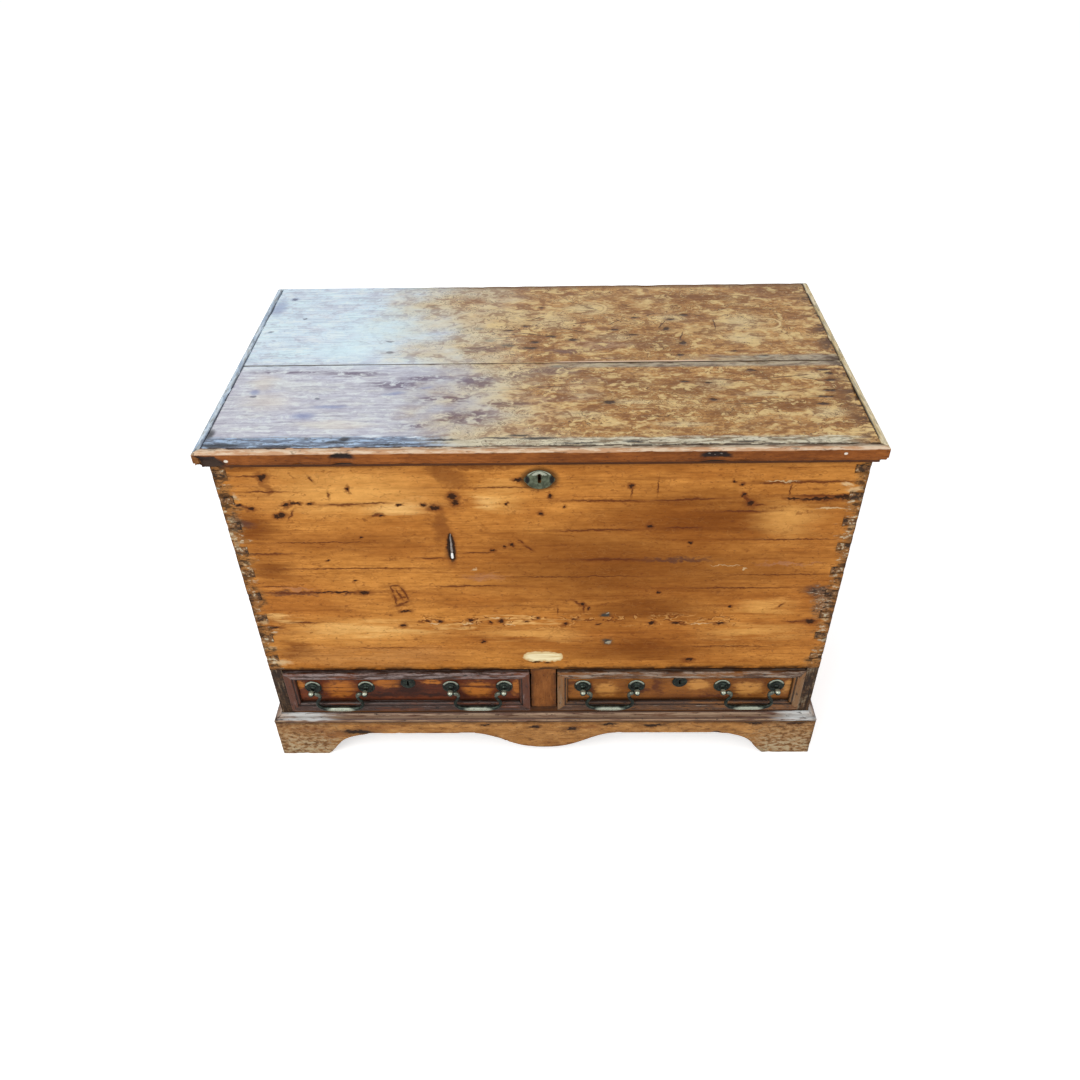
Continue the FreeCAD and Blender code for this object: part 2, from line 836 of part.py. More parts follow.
def till_side():
    x = till_x
    y0, y1 = front + front_thick, back - back_thick
    return box(x - till_board, x, y0, y1, till_top_z - till_height, till_top_z)


def till_bottom():
    x = till_x - till_board
    y0, y1 = front + front_thick, back - back_thick
    z0 = till_top_z - till_height
    return box(-inner, x, y0, y1, z0, z0 + till_board)


def till_lid():
    y0, y1 = front + front_thick + till_clear, back - back_thick - till_clear
    z0 = till_top_z + till_clear
    plate = box(till_pivot_x - till_lid_heel, till_x + till_lid_edge, y0, y1, z0, z0 + till_lid_thick)
    p0, p1 = till_pivots()
    pivot = rod(V(till_pivot_x, p0, till_pivot_z), V(0, 1, 0), till_pivot_r, p1 - p0)
    return plate.fuse(pivot).removeSplitter()


# Drawers, drawn at the right and mirrored for the left.


def drawer_bolt_y():
    return front + dlock_front_wood + dlock_deep / 2


def drawer_lock_blank():
    x = drawer_centre
    y0 = front + dlock_front_wood
    return box(x - dlock_half, x + dlock_half, y0, y0 + dlock_deep, drawer_top - dlock_high, drawer_top)


def drawer_tails(x0, x1):
    """Tails of a drawer side, let into the back of the drawer front."""
    count = 2
    z0, z1 = drawer_low, drawer_side_top
    pitch = (z1 - z0) / count
    y0 = front + drawer_front_thick
    tails = []
    for i in range(count):
        z = z0 + (i + 0.5) * pitch
        root, tip = pitch * 0.30, pitch * 0.42
        corners = [V(x0, y0, z - root), V(x0, y0 - drawer_tail_length, z - tip),
                   V(x0, y0 - drawer_tail_length, z + tip), V(x0, y0, z + root)]
        tails.append(slab(corners, V(x1 - x0, 0, 0)))
    return tails


def drawer_side(x0, x1):
    y0 = front + drawer_front_thick
    side = box(x0, x1, y0, drawer_back_y, drawer_low, drawer_side_top)
    side = side.multiFuse(drawer_tails(x0, x1)).removeSplitter()
    return side.cut(drawer_bottom())


def drawer_sides_at():
    t = drawer_side_thick
    return ((drawer_in, drawer_in + t), (drawer_out - t, drawer_out))


def drawer_bottom():
    t = drawer_side_thick - drawer_groove
    y0 = front + drawer_front_thick - drawer_groove
    top = drawer_floor_z + drawer_bottom_thick
    return box(drawer_in + t, drawer_out - t, y0, drawer_back_y, drawer_floor_z, top)


def drawer_back():
    t = drawer_side_thick
    low = drawer_floor_z + drawer_bottom_thick
    return box(drawer_in + t, drawer_out - t, drawer_back_y - t, drawer_back_y, low, drawer_side_top)


def drawer_front():
    y1 = front + drawer_front_thick
    board = box(drawer_in, drawer_out, front, y1, drawer_low, drawer_top)
    cuts = [drawer_bottom(), drawer_lock_blank()]
    for x0, x1 in drawer_sides_at():
        cuts += drawer_tails(x0, x1)
    cuts.append(keyhole(drawer_centre, descutcheon_z, dkeyhole_height, front, y1))
    cuts += [rod(V(x, front, handle_z), V(0, 1, 0), post_shank_r, drawer_front_thick) for x in post_places()]
    cuts += drawer_sprigs()
    return cut_all(board, cuts)


def drawer_moulding():
    """Four mitred strips round the drawer's face: flat, with an ovolo on the inner edge."""
    w, p, f = drawer_mould_width, drawer_mould_proud, drawer_mould_flat
    a, q = drawer_mould_arris, drawer_mould_quirk
    points = [V(0, 0, 0), V(0, p - a, 0), V(a, p, 0), V(f, p, 0), V(f + q / 2, p - q, 0),
              V(w, drawer_mould_edge, 0), V(w, 0, 0)]
    bulges = [0, -0.2, 0, 0, -0.2, 0, 0]
    x0, x1, z0, z1 = drawer_in, drawer_out, drawer_low, drawer_top
    long, tall = x1 - x0, z1 - z0

    def strip(length):
        """A strip along +X, its outer edge on Z = 0, with mitred ends."""
        face = chain(points, bulges)
        face.rotate(V(0, 0, 0), V(0, 0, 1), 90)
        face.rotate(V(0, 0, 0), V(0, 1, 0), 90)
        body = face.extrude(V(length, 0, 0))
        turned = lay_out(body, w)
        keep = slab([V(0, -p, 0), V(w, -p, w), V(length - w, -p, w), V(length, -p, 0)], V(0, p, 0))
        return turned.common(keep)

    low = strip(long)
    low.translate(V(x0, front, z0))
    high = strip(long)
    high.rotate(V(0, 0, 0), V(0, 1, 0), 180)
    high.translate(V(x1, front, z1))
    near = strip(tall)
    near.rotate(V(0, 0, 0), V(0, 1, 0), 90)
    near.translate(V(x0, front, z1))
    far = strip(tall)
    far.rotate(V(0, 0, 0), V(0, 1, 0), -90)
    far.translate(V(x1, front, z0))
    return group([low, high, near, far])


def lay_out(body, width):
    """Bring a strip to Y from -proud to 0 and Z from 0 to its width, whatever way it was turned."""
    b = body.BoundBox
    if abs(b.ZLength - width) > 0.01:
        body.rotate(V(0, 0, 0), V(1, 0, 0), 90)
        b = body.BoundBox
    body.translate(V(0, -b.YMax, -b.ZMin))
    return body


def drawer_lock():
    x = drawer_centre
    t = dlock_wall
    y0 = front + dlock_front_wood
    y1 = y0 + dlock_deep
    low = drawer_top - dlock_high
    floor = drawer_top - dbolt_high - 2 * bolt_clear
    w = dbolt_half + bolt_clear
    d = dbolt_thick / 2 + bolt_clear
    y = drawer_bolt_y()
    cavity = box(x - w, x + w, y - d, y + d, floor, drawer_top)
    works = box(x - dlock_half + t, x + dlock_half - t, y0 + t, y1 - t, low + t, floor - t)
    hole = keyhole(x, descutcheon_z, dkeyhole_height, y0, y0 + t)
    return cut_all(drawer_lock_blank(), [cavity, works, hole])


def drawer_bolt():
    x = drawer_centre
    y = drawer_bolt_y()
    d = dbolt_thick / 2
    top = drawer_top - bolt_clear
    return box(x - dbolt_half, x + dbolt_half, y - d, y + d, top - dbolt_high, top)


def drawer_sprigs():
    return sprigs(drawer_centre, descutcheon_z, descutcheon_r - sprig_in)


def drawer_escutcheon():
    y0 = front - escutcheon_thick
    disc = rod(V(drawer_centre, y0, descutcheon_z), V(0, 1, 0), descutcheon_r, escutcheon_thick)
    hole = keyhole(drawer_centre, descutcheon_z, dkeyhole_height, y0, front)
    return cut_all(disc, [hole] + drawer_sprigs())


def handle_places():
    return (drawer_in + handle_inset, drawer_out - handle_inset)


def post_places():
    return [x + s * post_span / 2 for x in handle_places() for s in (-1, 1)]


def rosette(x):
    """A dished round backplate, turned about the post."""
    r, t = rosette_r, rosette_thick
    edge, bead = rosette_edge, rosette_bead
    points = [V(post_shank_r, 0, 0), V(r, 0, 0), V(r, edge, 0), V(r - rosette_bead_in, bead, 0),
              V(r - rosette_dish_in, edge, 0), V(post_head_r + rosette_boss, edge, 0), V(post_head_r, t, 0),
              V(post_shank_r, t, 0)]
    face = face_of(polygon_edges(points))
    body = face.revolve(V(0, 0, 0), V(0, 1, 0), 360)
    body.rotate(V(0, 0, 0), V(0, 0, 1), 180)
    body.translate(V(x, front, handle_z))
    return body


def post(x):
    """A cast post: a round head bored for the bail, and a shank through the drawer front."""
    back_y = front + drawer_front_thick + nut_thick + shank_past_nut
    eye = V(x, front - post_out, handle_z)
    head = Part.makeSphere(post_head_r, eye)
    shank = rod(eye, V(0, 1, 0), post_shank_r, back_y - front + post_out)
    bore = rod(eye - V(post_head_r + 1, 0, 0), V(1, 0, 0), bail_pin_r + bail_pin_clear, 2 * post_head_r + 2)
    return head.fuse(shank).removeSplitter().cut(bore)


def nut(x):
    n = nut_size / 2
    y0 = front + drawer_front_thick
    block = box(x - n, x + n, y0, y0 + nut_thick, handle_z - n, handle_z + n)
    return block.cut(rod(V(x, y0, handle_z), V(0, 1, 0), post_shank_r, nut_thick))


def rounded_path(points, radii):
    """A wire of straight runs with a tangent arc at each inner point."""
    edges = []
    start = points[0]
    for before, corner, after, radius in zip(points, points[1:], points[2:], radii):
        a = (before - corner).normalize()
        b = (after - corner).normalize()
        turn = math.acos(max(-1.0, min(1.0, a.dot(b))))
        run = radius / math.tan(turn / 2)
        p, q = corner + a * run, corner + b * run
        middle = (a + b).normalize()
        centre = corner + middle * (radius / math.sin(turn / 2))
        edges.append(Part.LineSegment(start, p).toShape())
        edges.append(Part.Arc(p, centre - middle * radius, q).toShape())
        start = q
    edges.append(Part.LineSegment(start, points[-1]).toShape())
    return Part.Wire(edges)


def bail(x):
    """A swan-neck bail hanging from its two posts: pins, necks, hips and a swelled grip."""
    y = front - post_out
    pin_out = post_span / 2 + post_head_r - bail_pin_short
    pin_in = post_span / 2 - post_head_r - bail_shoulder_gap

    def at(along, down):
        return V(x + along, y, handle_z - down)

    right = [at(pin_in, 0), at(bail_neck_x, 0), at(bail_neck_x, bail_neck_down),
             at(bail_hip_x, bail_hip_down), at(bail_hip_x - bail_hip_in, bail_drop)]
    left = [at(x - p.x, handle_z - p.z) for p in reversed(right)]
    path = rounded_path(right + left, bail_bends + bail_bends[::-1])
    ring = Part.Wire([Part.Circle(right[0], V(1, 0, 0), bail_r).toShape()])
    bar = path.makePipeShell([ring], True, False)
    pins = [rod(at(s * pin_in, 0), V(s, 0, 0), bail_pin_r, pin_out - pin_in) for s in (-1, 1)]
    end = bail_hip_x - bail_grip_in
    low = bail_drop
    rim = low - bail_r + bail_grip_lap
    edges = [arc(at(-end, rim), at(0, low - bail_grip_r), at(end, rim))]
    corners = [at(end, rim), at(end, low), at(-end, low), at(-end, rim)]
    edges += [Part.LineSegment(a, b).toShape() for a, b in zip(corners, corners[1:])]
    grip = face_of(edges).revolve(at(0, low), V(1, 0, 0), 360)
    return bar.multiFuse(pins + [grip]).removeSplitter()


def drawer_box():
    """The joinery, lock and escutcheon of the right-hand drawer, by name."""
    return {
        "front": drawer_front(),
        "moulding": drawer_moulding(),
        "sides": group([drawer_side(x0, x1) for x0, x1 in drawer_sides_at()]),
        "back": drawer_back(),
        "bottom": drawer_bottom(),
        "lock": drawer_lock(),
        "lock_bolt": drawer_bolt(),
        "escutcheon": group([drawer_escutcheon()] + drawer_sprigs()),
    }


def drawer_handles(side):
    """The two handles of a drawer, by name: side is 1 at the right and -1 at the left."""
    near, far = handle_places()
    posts = [side * x for x in post_places()]
    return {
        "rosettes": group([rosette(x) for x in posts]),
        "handle_posts": group([post(x) for x in posts] + [nut(x) for x in posts]),
        "inner_bail": bail(side * near),
        "outer_bail": bail(side * far),
    }


def case_nodes():
    pins_side = right_end()
    cuts_at_top = strap_notches() + [till_pivot_holes()] + leaf_screws()
    plinth = plinth_right()
    moulding = plinth_moulding_right()
    bracket = rear_bracket()
    return {
        "front_board": front_board(),
        "left_end": mirrored(pins_side),
        "right_end": pins_side,
        "back_board_upper": back_board(back_split_z, rim_z, cuts_at_top),
        "back_board_lower": back_board(case_base_z, back_split_z, []),
        "chest_floor": chest_floor(),
        "base_board": base_board(),
        "bottom_rail": bottom_rail(),
        "muntin": muntin(),
        "drawer_runners": runners(),
        "centre_guide": centre_guide(),
        "plinth_front": plinth_front(),
        "plinth_left": mirrored(plinth),
        "plinth_right": plinth,
        "plinth_moulding_front": plinth_moulding_front(),
        "plinth_moulding_left": mirrored(moulding),
        "plinth_moulding_right": moulding,
        "corner_blocks": corner_blocks(),
        "rear_brackets": group([bracket, mirrored(bracket)]),
        "till_tray": group([till_side(), till_bottom()]),
        "chest_lock": lock_case(),
        "chest_escutcheon": group([chest_escutcheon()] + sprigs_of_chest_escutcheon()),
        "old_nail": old_nail(),
        "hinge_leaves": group([cut_all(hinge_leaf(s * hinge_x), leaf_screws()) for s in (-1, 1)]),
        "hinge_pins": group([hinge_pin(s * hinge_x) for s in (-1, 1)]),
        "case_screws": group(lock_screws() + leaf_screws()),
    }


def lid_nodes():
    moulding = lid_moulding_right()
    seam = front + lid_seam
    return {
        "lid_front_board": lid_board(lid_y, seam),
        "lid_rear_board": lid_board(seam, back),
        "lid_moulding_front": lid_moulding_front(),
        "lid_moulding_left": mirrored(moulding),
        "lid_moulding_right": moulding,
        "hinge_straps": group([cut_all(hinge_strap(s * hinge_x), strap_screws()) for s in (-1, 1)]),
        "strap_screws": group(strap_screws()),
        "lid_link_plate": link_plate(),
    }


for node, shape in {**case_nodes(), **lid_nodes()}.items():
    save(node, shape)
save("till_lid", till_lid())
save("chest_lock_bolt", lock_bolt())
for node, shape in {**drawer_box(), **drawer_handles(1)}.items():
    save("right_drawer_" + node, shape)
for node, shape in drawer_box().items():
    save("left_drawer_" + node, mirrored(shape))
for node, shape in drawer_handles(-1).items():
    save("left_drawer_" + node, shape)
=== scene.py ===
import json
import math

import bmesh
import bpy
import numpy as np
from mathutils import Matrix, Vector

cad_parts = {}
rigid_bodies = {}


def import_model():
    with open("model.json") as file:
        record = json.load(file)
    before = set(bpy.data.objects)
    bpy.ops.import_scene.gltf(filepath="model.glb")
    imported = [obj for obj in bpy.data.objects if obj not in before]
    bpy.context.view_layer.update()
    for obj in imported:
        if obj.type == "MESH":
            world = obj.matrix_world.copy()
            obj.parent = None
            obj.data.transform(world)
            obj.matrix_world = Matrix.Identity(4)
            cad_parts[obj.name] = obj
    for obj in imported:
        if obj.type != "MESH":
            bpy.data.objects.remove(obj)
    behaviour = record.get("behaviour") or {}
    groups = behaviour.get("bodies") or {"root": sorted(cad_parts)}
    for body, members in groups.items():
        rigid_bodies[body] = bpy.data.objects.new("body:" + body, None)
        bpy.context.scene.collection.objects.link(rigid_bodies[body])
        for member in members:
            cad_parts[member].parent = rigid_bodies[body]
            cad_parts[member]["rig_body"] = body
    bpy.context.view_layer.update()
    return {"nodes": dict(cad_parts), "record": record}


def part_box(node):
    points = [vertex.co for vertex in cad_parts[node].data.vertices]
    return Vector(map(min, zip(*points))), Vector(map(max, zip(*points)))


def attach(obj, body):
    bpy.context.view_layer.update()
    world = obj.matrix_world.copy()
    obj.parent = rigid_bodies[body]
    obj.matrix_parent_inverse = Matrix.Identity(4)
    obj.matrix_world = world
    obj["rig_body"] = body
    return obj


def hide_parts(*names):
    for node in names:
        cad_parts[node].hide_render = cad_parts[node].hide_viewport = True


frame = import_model()
CAD = frame["nodes"]
SLOTS = {row["node"]: row["material_slot"] for row in frame["record"]["subparts"]}
MM = 0.001

FRONT_LOW, FRONT_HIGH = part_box("front_board")
FRONT = FRONT_LOW.y                   # outer face of the front board
CASE_HALF = FRONT_HIGH.x
LID_LOW, LID_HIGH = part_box("lid_rear_board")
LID_TOP = LID_HIGH.z
SEAM = LID_LOW.y                      # joint of the two lid boards
LID_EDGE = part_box("lid_front_board")[0].y
LID_FACE = (LID_TOP - 0.0045, LID_TOP - 0.008)      # heights between which the lid's upper face ends
CHEST_KEY = (0, 690)                  # middle of the chest's keyhole plate, in millimetres
RING_WIDTH = 0.0046                   # one year's growth
FAR = 1000.0                          # half width of an ellipse in the direction it ignores
ALONG_X = (0.006, 0.02, 0.02)         # cutting steps of long narrow pieces
ALONG_Y = (0.02, 0.006, 0.02)


def rgb(red, green, blue):
    """A display colour, 0 to 255, as Blender's linear colour."""
    def linear(v):
        v /= 255
        return v / 12.92 if v <= 0.04045 else ((v + 0.055) / 1.055) ** 2.4
    return (linear(red), linear(green), linear(blue), 1.0)


def shown(tone):
    """Blender's colour for a display colour. A socket stays as it is."""
    return rgb(*tone) if isinstance(tone, tuple) else tone


def add_node(tree, kind, given=(), **settings):
    """A new shader node with its settings. given says what its inputs get: numbers, or sockets to link."""
    node = tree.nodes.new("ShaderNode" + kind)
    for name, value in settings.items():
        setattr(node, name, value)
    for name, value in dict(given).items():
        if isinstance(value, bpy.types.NodeSocket):
            tree.links.new(value, node.inputs[name])
        else:
            node.inputs[name].default_value = value
    return node


def in_scene(name, data):
    """A new object in the scene."""
    made = bpy.data.objects.new(name, data)
    bpy.context.scene.collection.objects.link(made)
    return made


# Shaders ------------------------------------------------------------------------------------------


class Shade:
    """Short calls that build one material. Sizes are in metres, in the part's own frame. Tones are display
    colours, 0 to 255, or sockets. self.colour and self.height are what has been built so far. A mask is a
    socket, a number, or the three values of a rise."""

    def __init__(self, name, along="X", shift=(0.0, 0.0, 0.0), plane="xz"):
        self.material = bpy.data.materials.new(name)
        self.material.use_nodes = True
        self.tree = self.material.node_tree
        self.tree.nodes.clear()
        self.plane = plane
        self.place = self.add("TexCoord").outputs["Object"]
        self.axes = self.add("SeparateXYZ", {0: self.place}).outputs[:]
        x, y, z = self.axes
        turned = {"X": (x, y, z), "Y": (y, x, z), "Z": (z, y, x)}[along]
        self.fibre = self.vector("ADD", self.join(*turned), shift)

    def add(self, kind, given=(), **settings):
        return add_node(self.tree, kind, given, **settings)

    def maths(self, operation, *values):
        return self.add("Math", enumerate(values), operation=operation).outputs[0]

    def scaled(self, value, factor, more):
        """value times factor, plus more."""
        return self.maths("MULTIPLY_ADD", value, factor, more)

    def apart(self, a, b):
        """How far a is from b."""
        return self.maths("ABSOLUTE", self.maths("SUBTRACT", a, b))

    def vector(self, operation, *values):
        node = self.add("VectorMath", enumerate(values), operation=operation)
        return node.outputs["Value" if operation == "LENGTH" else "Vector"]

    def join(self, x, y, z):
        return self.add("CombineXYZ", enumerate((x, y, z))).outputs[0]

    def noise(self, cell, detail=2.0, rough=0.5, where=None, output="Fac"):
        """Noise from 0 to 1 about 0.5, or three such numbers. cell measures it along the grain and across it,
        or in three directions."""
        scale = [1 / c for c in (*cell, cell[-1])[:3]]
        moved = self.vector("MULTIPLY", where or self.fibre, scale)
        given = {"Vector": moved, "Scale": 1.0, "Detail": detail, "Roughness": rough}
        return self.add("TexNoise", given).outputs[output]

    def pushed(self, place, cell, detail, rough, far, where=None):
        """The place, moved about by far metres in all, with noise of that cell."""
        push = self.noise(cell, detail, rough, where, "Color")
        return self.vector("ADD", place, self.vector("MULTIPLY_ADD", push, [far] * 3, [-far / 2] * 3))

    def ragged(self, coarse=14.0, fine=7.0):
        """The place, pushed about by some of those millimetres, so that marks get uneven outlines."""
        moved = self.pushed(self.place, (0.022, 0.014), 2, 0.6, coarse * MM, self.place)
        return self.pushed(moved, (0.006, 0.004), 1, 0.5, fine * MM, self.place)

    def smeared(self, far=110.0):
        """The place, pushed about in streaks along the grain, for the edges of broad patches."""
        return self.pushed(self.place, (0.16, 0.022), 4, 0.65, far * MM)

    def rise(self, value, low, high):
        """0 at low, 1 at high, smooth between them."""
        given = {"Value": value, "From Min": low, "From Max": high}
        return self.add("MapRange", given, interpolation_type="SMOOTHSTEP").outputs[0]

    def patches(self, cell, detail, rough, low, high, where=None):
        """1 in patches of such noise, where it is over high, or under it if low is the greater."""
        return self.rise(self.noise(cell, detail, rough, where), low, high)

    def both(self, *masks):
        """All the masks multiplied."""
        made = [self.rise(*mask) if isinstance(mask, tuple) else mask for mask in masks]
        share = made[0]
        for mask in made[1:]:
            share = self.maths("MULTIPLY", share, mask)
        return share

    def band(self, value, low, high, soft):
        """1 where value is from low to high."""
        return self.both((value, low - soft, low + soft), (value, high + soft, high - soft))

    def mix(self, share, a, b, mode="MIX"):
        given = {0: share, 6: shown(a), 7: shown(b)}
        return self.add("Mix", given, data_type="RGBA", blend_type=mode).outputs[2]

    def over(self, under, tone, *masks):
        """Tone over under, as far as all the masks let it."""
        return self.mix(self.both(*masks), under, tone)

    def lay(self, tone, *masks):
        self.colour = self.over(self.colour, tone, *masks)

    def tinted(self, colour, value, amount):
        """Darker and redder where value is low, lighter where it is high, by up to amount."""
        given = {"Value": value, "From Min": 0.32, "From Max": 0.68, "To Min": 1 - amount,
                 "To Max": 1 + amount}
        level = self.add("MapRange", given).outputs[0]
        warm = self.join(self.maths("POWER", level, 0.8), level, self.maths("POWER", level, 1.35))
        return self.mix(1.0, colour, warm, "MULTIPLY")

    def tint(self, value, amount):
        self.colour = self.tinted(self.colour, value, amount)

    def wear(self):
        """1 on the worn edges of a piece, falling to 0 on its flat faces."""
        return self.add("Attribute", attribute_name="wear").outputs["Fac"]

    def reach(self, place, u, v, half_u, half_v, turn=None):
        """How far out of an ellipse in millimetres, turned by degrees: 0 in its middle, 1 on its rim."""
        first, second = ("xyz".index(axis) for axis in self.plane)
        middle, half = [0.0] * 3, [0.0] * 3
        middle[first], middle[second] = u, v
        half[first], half[second] = half_u, half_v
        if turn is None:
            scale = [1 / (h * MM) if h else 0.0 for h in half]
            move = [-m / h if h else 0.0 for m, h in zip(middle, half)]
            return self.vector("LENGTH", self.vector("MULTIPLY_ADD", place, scale, move))
        angle = [0.0] * 3
        angle[3 - first - second] = math.radians(-turn if self.plane == "xz" else turn)
        given = {"Vector": place, "Location": [m * MM for m in middle], "Rotation": angle,
                 "Scale": [h * MM if h else FAR for h in half]}
        return self.vector("LENGTH", self.add("Mapping", given, vector_type="TEXTURE").outputs[0])

    def away(self, place, spots):
        """How far out of the nearest of the ellipses (see reach)."""
        nearest = self.reach(place, *spots[0])
        for spot in spots[1:]:
            nearest = self.maths("MINIMUM", nearest, self.reach(place, *spot))
        return nearest

    def marks(self, place, spots, soft=0.5):
        """1 inside any of the ellipses, 0 outside them all."""
        return self.rise(self.away(place, spots), 1.0 + soft * 0.15, 1.0 - soft)

    def paint(self, place, layers):
        """Patches in rows of (share, softness, colour, ellipses)."""
        for share, soft, tone, spots in layers:
            self.lay(tone, self.marks(place, spots, soft), share)

    def holes(self, nearest, core, halo, share=0.6):
        """Dark holes with a browner ring round each."""
        self.lay(halo, (nearest, 2.3, 0.9), share)
        self.lay(core, (nearest, 1.1, 0.6), 0.95)

    def worms(self, cell, half_width, start, seed):
        """Thin wandering lines in patches, and a painted highlight that runs beside each line."""
        moved = self.vector("ADD", self.fibre, (seed * 1.7, seed * 0.9, seed * 2.3))
        field = self.noise(cell, 1.5, 0.5, moved)
        patch = self.noise([c * 2.3 for c in cell], 2, 0.5, moved)
        kept = self.rise(patch, start, start + 0.04)
        return [self.both((self.apart(field, level), half_width, half_width * 0.3), kept)
                for level in (0.5, 0.5 + half_width * 1.7)]

    def battered(self, mask, dark, pale, cell=0.009, along=1.5):
        """Knocked and dirty wood inside mask: dark pits and pale bruises."""
        knocks = self.noise((cell * along, cell * 0.75), 4, 0.7)
        self.lay(dark, mask, (knocks, 0.51, 0.60))
        self.lay(pale, mask, (knocks, 0.45, 0.37))
        return knocks

    def heap(self, *parts):
        """Sum of (value, metres) pairs: a height for the bump."""
        total = 0.0
        for value, metres in parts:
            total = self.scaled(value, metres, total)
        return total

    def carve(self, *parts, grain=1.0):
        """Add (value, metres) pairs to the height, whose grain so far may be made deeper."""
        self.height = self.heap((self.height, grain), *parts)

    def finish(self, roughness, gloss=0.5, metallic=0.0):
        bump = self.add("Bump", {"Distance": 1.0, "Strength": 1.0, "Height": self.height})
        shader = self.add("BsdfPrincipled", {
            "Base Color": self.colour, "Roughness": roughness, "Metallic": metallic,
            "Specular IOR Level": gloss,
            "Normal": bump.outputs[0]})
        self.add("OutputMaterial", {0: shader.outputs[0]})
        return self.material


def pine(s, light, middle, dark, late, heart=(0.11, 0.45), ring_strength=0.16, flecks=0.55, mottle=0.15):
    """A pine board: rings round a heart, streaks, patina, fibres and small dark flecks."""
    bent = s.pushed(s.fibre, (0.55, 0.13), 2, 0.5, 0.05)
    across = s.vector("MULTIPLY_ADD", bent, (0, 1, 1), (0, -heart[0], -heart[1]))
    turn = s.maths("FRACT", s.maths("DIVIDE", s.vector("LENGTH", across), RING_WIDTH))
    late_wood = s.both((turn, 0.25, 0.9), (turn, 1.0, 0.93))
    patch = s.noise((0.34, 0.085), 3, 0.55)
    s.streak = s.noise((0.20, 0.0075), 4, 0.65)
    thread = s.noise((0.05, 0.0013), 2, 0.6)
    cloud = s.noise((0.055, 0.022), 4, 0.65)
    grain = s.noise((0.016, 0.0048), 3, 0.65)
    fleck = s.patches((0.009, 0.0034), 2, 0.5, 0.64, 0.71)
    s.colour = s.over(middle, light, (patch, 0.36, 0.64))
    s.lay(dark, (s.streak, 0.51, 0.70), 0.5)
    s.lay(late, late_wood, ring_strength, (s.noise((0.16, 0.03), 2), 0.42, 0.66))
    s.lay(late, (thread, 0.52, 0.75), 0.25)
    s.tint(cloud, mottle)
    s.tint(grain, mottle * 0.9)
    s.lay(late, fleck, flecks)
    s.height = s.heap((late_wood, 0.00004), (thread, 0.00014), (s.streak, 0.0002), (grain, 0.0002),
                      (fleck, -0.0003))


def waxed(s):
    """Roughness of worn wax over wood."""
    smear = s.noise((0.05, 0.03), 3, 0.6, s.place)
    return s.scaled(smear, 0.30, s.scaled(s.streak, 0.12, 0.28))


def aged(s):
    """Colour of a face that never saw wax or light: darkened bare pine."""
    plain = s.over((188, 146, 94), (160, 116, 70), (s.streak, 0.36, 0.66))
    return s.tinted(plain, s.noise((0.06, 0.016), 4, 0.65), 0.14)


HONEY = ((196, 130, 58), (172, 106, 42), (128, 70, 25), (92, 46, 16))
BROWN = (112, 58, 22)
SOOT = (46, 24, 10)
GRIME = (46, 34, 24)
CHALK = (206, 194, 164)

FRONT_TONES = [
    (0.84, 0.95, (115, 59, 11), [
        (150, 495, 340, 120), (280, 610, 240, 80), (190, 395, 170, 60), (180, 292, 200, 50),
        (-480, 590, 60, 40), (-480, 500, 60, 40), (-470, 300, 40, 34)]),
    (0.25, 0.95, (116, 64, 22), [(-320, 560, 200, 56), (60, 560, 170, 50), (420, 500, 110, 60)]),
    (0.45, 0.95, (198, 144, 84), [(-330, 275, 220, 34)]),
    (0.78, 0.95, (220, 160, 84), [
        (-320, 665, 210, 62), (-66, 652, 58, 40), (-330, 345, 220, 44), (-30, 338, 130, 24),
        (385, 336, 120, 28), (418, 600, 75, 56), (408, 402, 64, 24)]),
    (0.56, 0.90, (238, 190, 118), [
        (-300, 348, 150, 18), (-235, 628, 70, 24), (-160, 364, 50, 9), (-95, 644, 34, 18),
        (-30, 372, 120, 6), (-480, 372, 40, 10)]),
    # Dark patches: the two at heights 720 and 735 are painted shadow under the lid; the other two darken the
    # right end.
    (0.55, 0.90, (118, 64, 20), [
        (-480, 720, 60, 14), (-300, 735, 260, 8), (480, 642, 60, 18), (488, 440, 36, 26)]),
]
FRONT_SHADES = [
    (0.62, 0.60, (116, 62, 22), [
        (-152, 700, 44, 24, -34), (-100, 717, 90, 10), (-168, 594, 17, 42), (-447, 677, 9, 20, 14)]),
    (0.80, 0.80, (84, 52, 42), [
        (-440, 442, 70, 7), (-372, 443, 40, 5), (-500, 600, 30, 12), (233, 515, 90, 6),
        (489, 443, 28, 14)]),
    (0.50, 0.80, (168, 118, 88), [(-99, 478, 46, 10), (430, 505, 70, 4), (-440, 452, 50, 4)]),
]
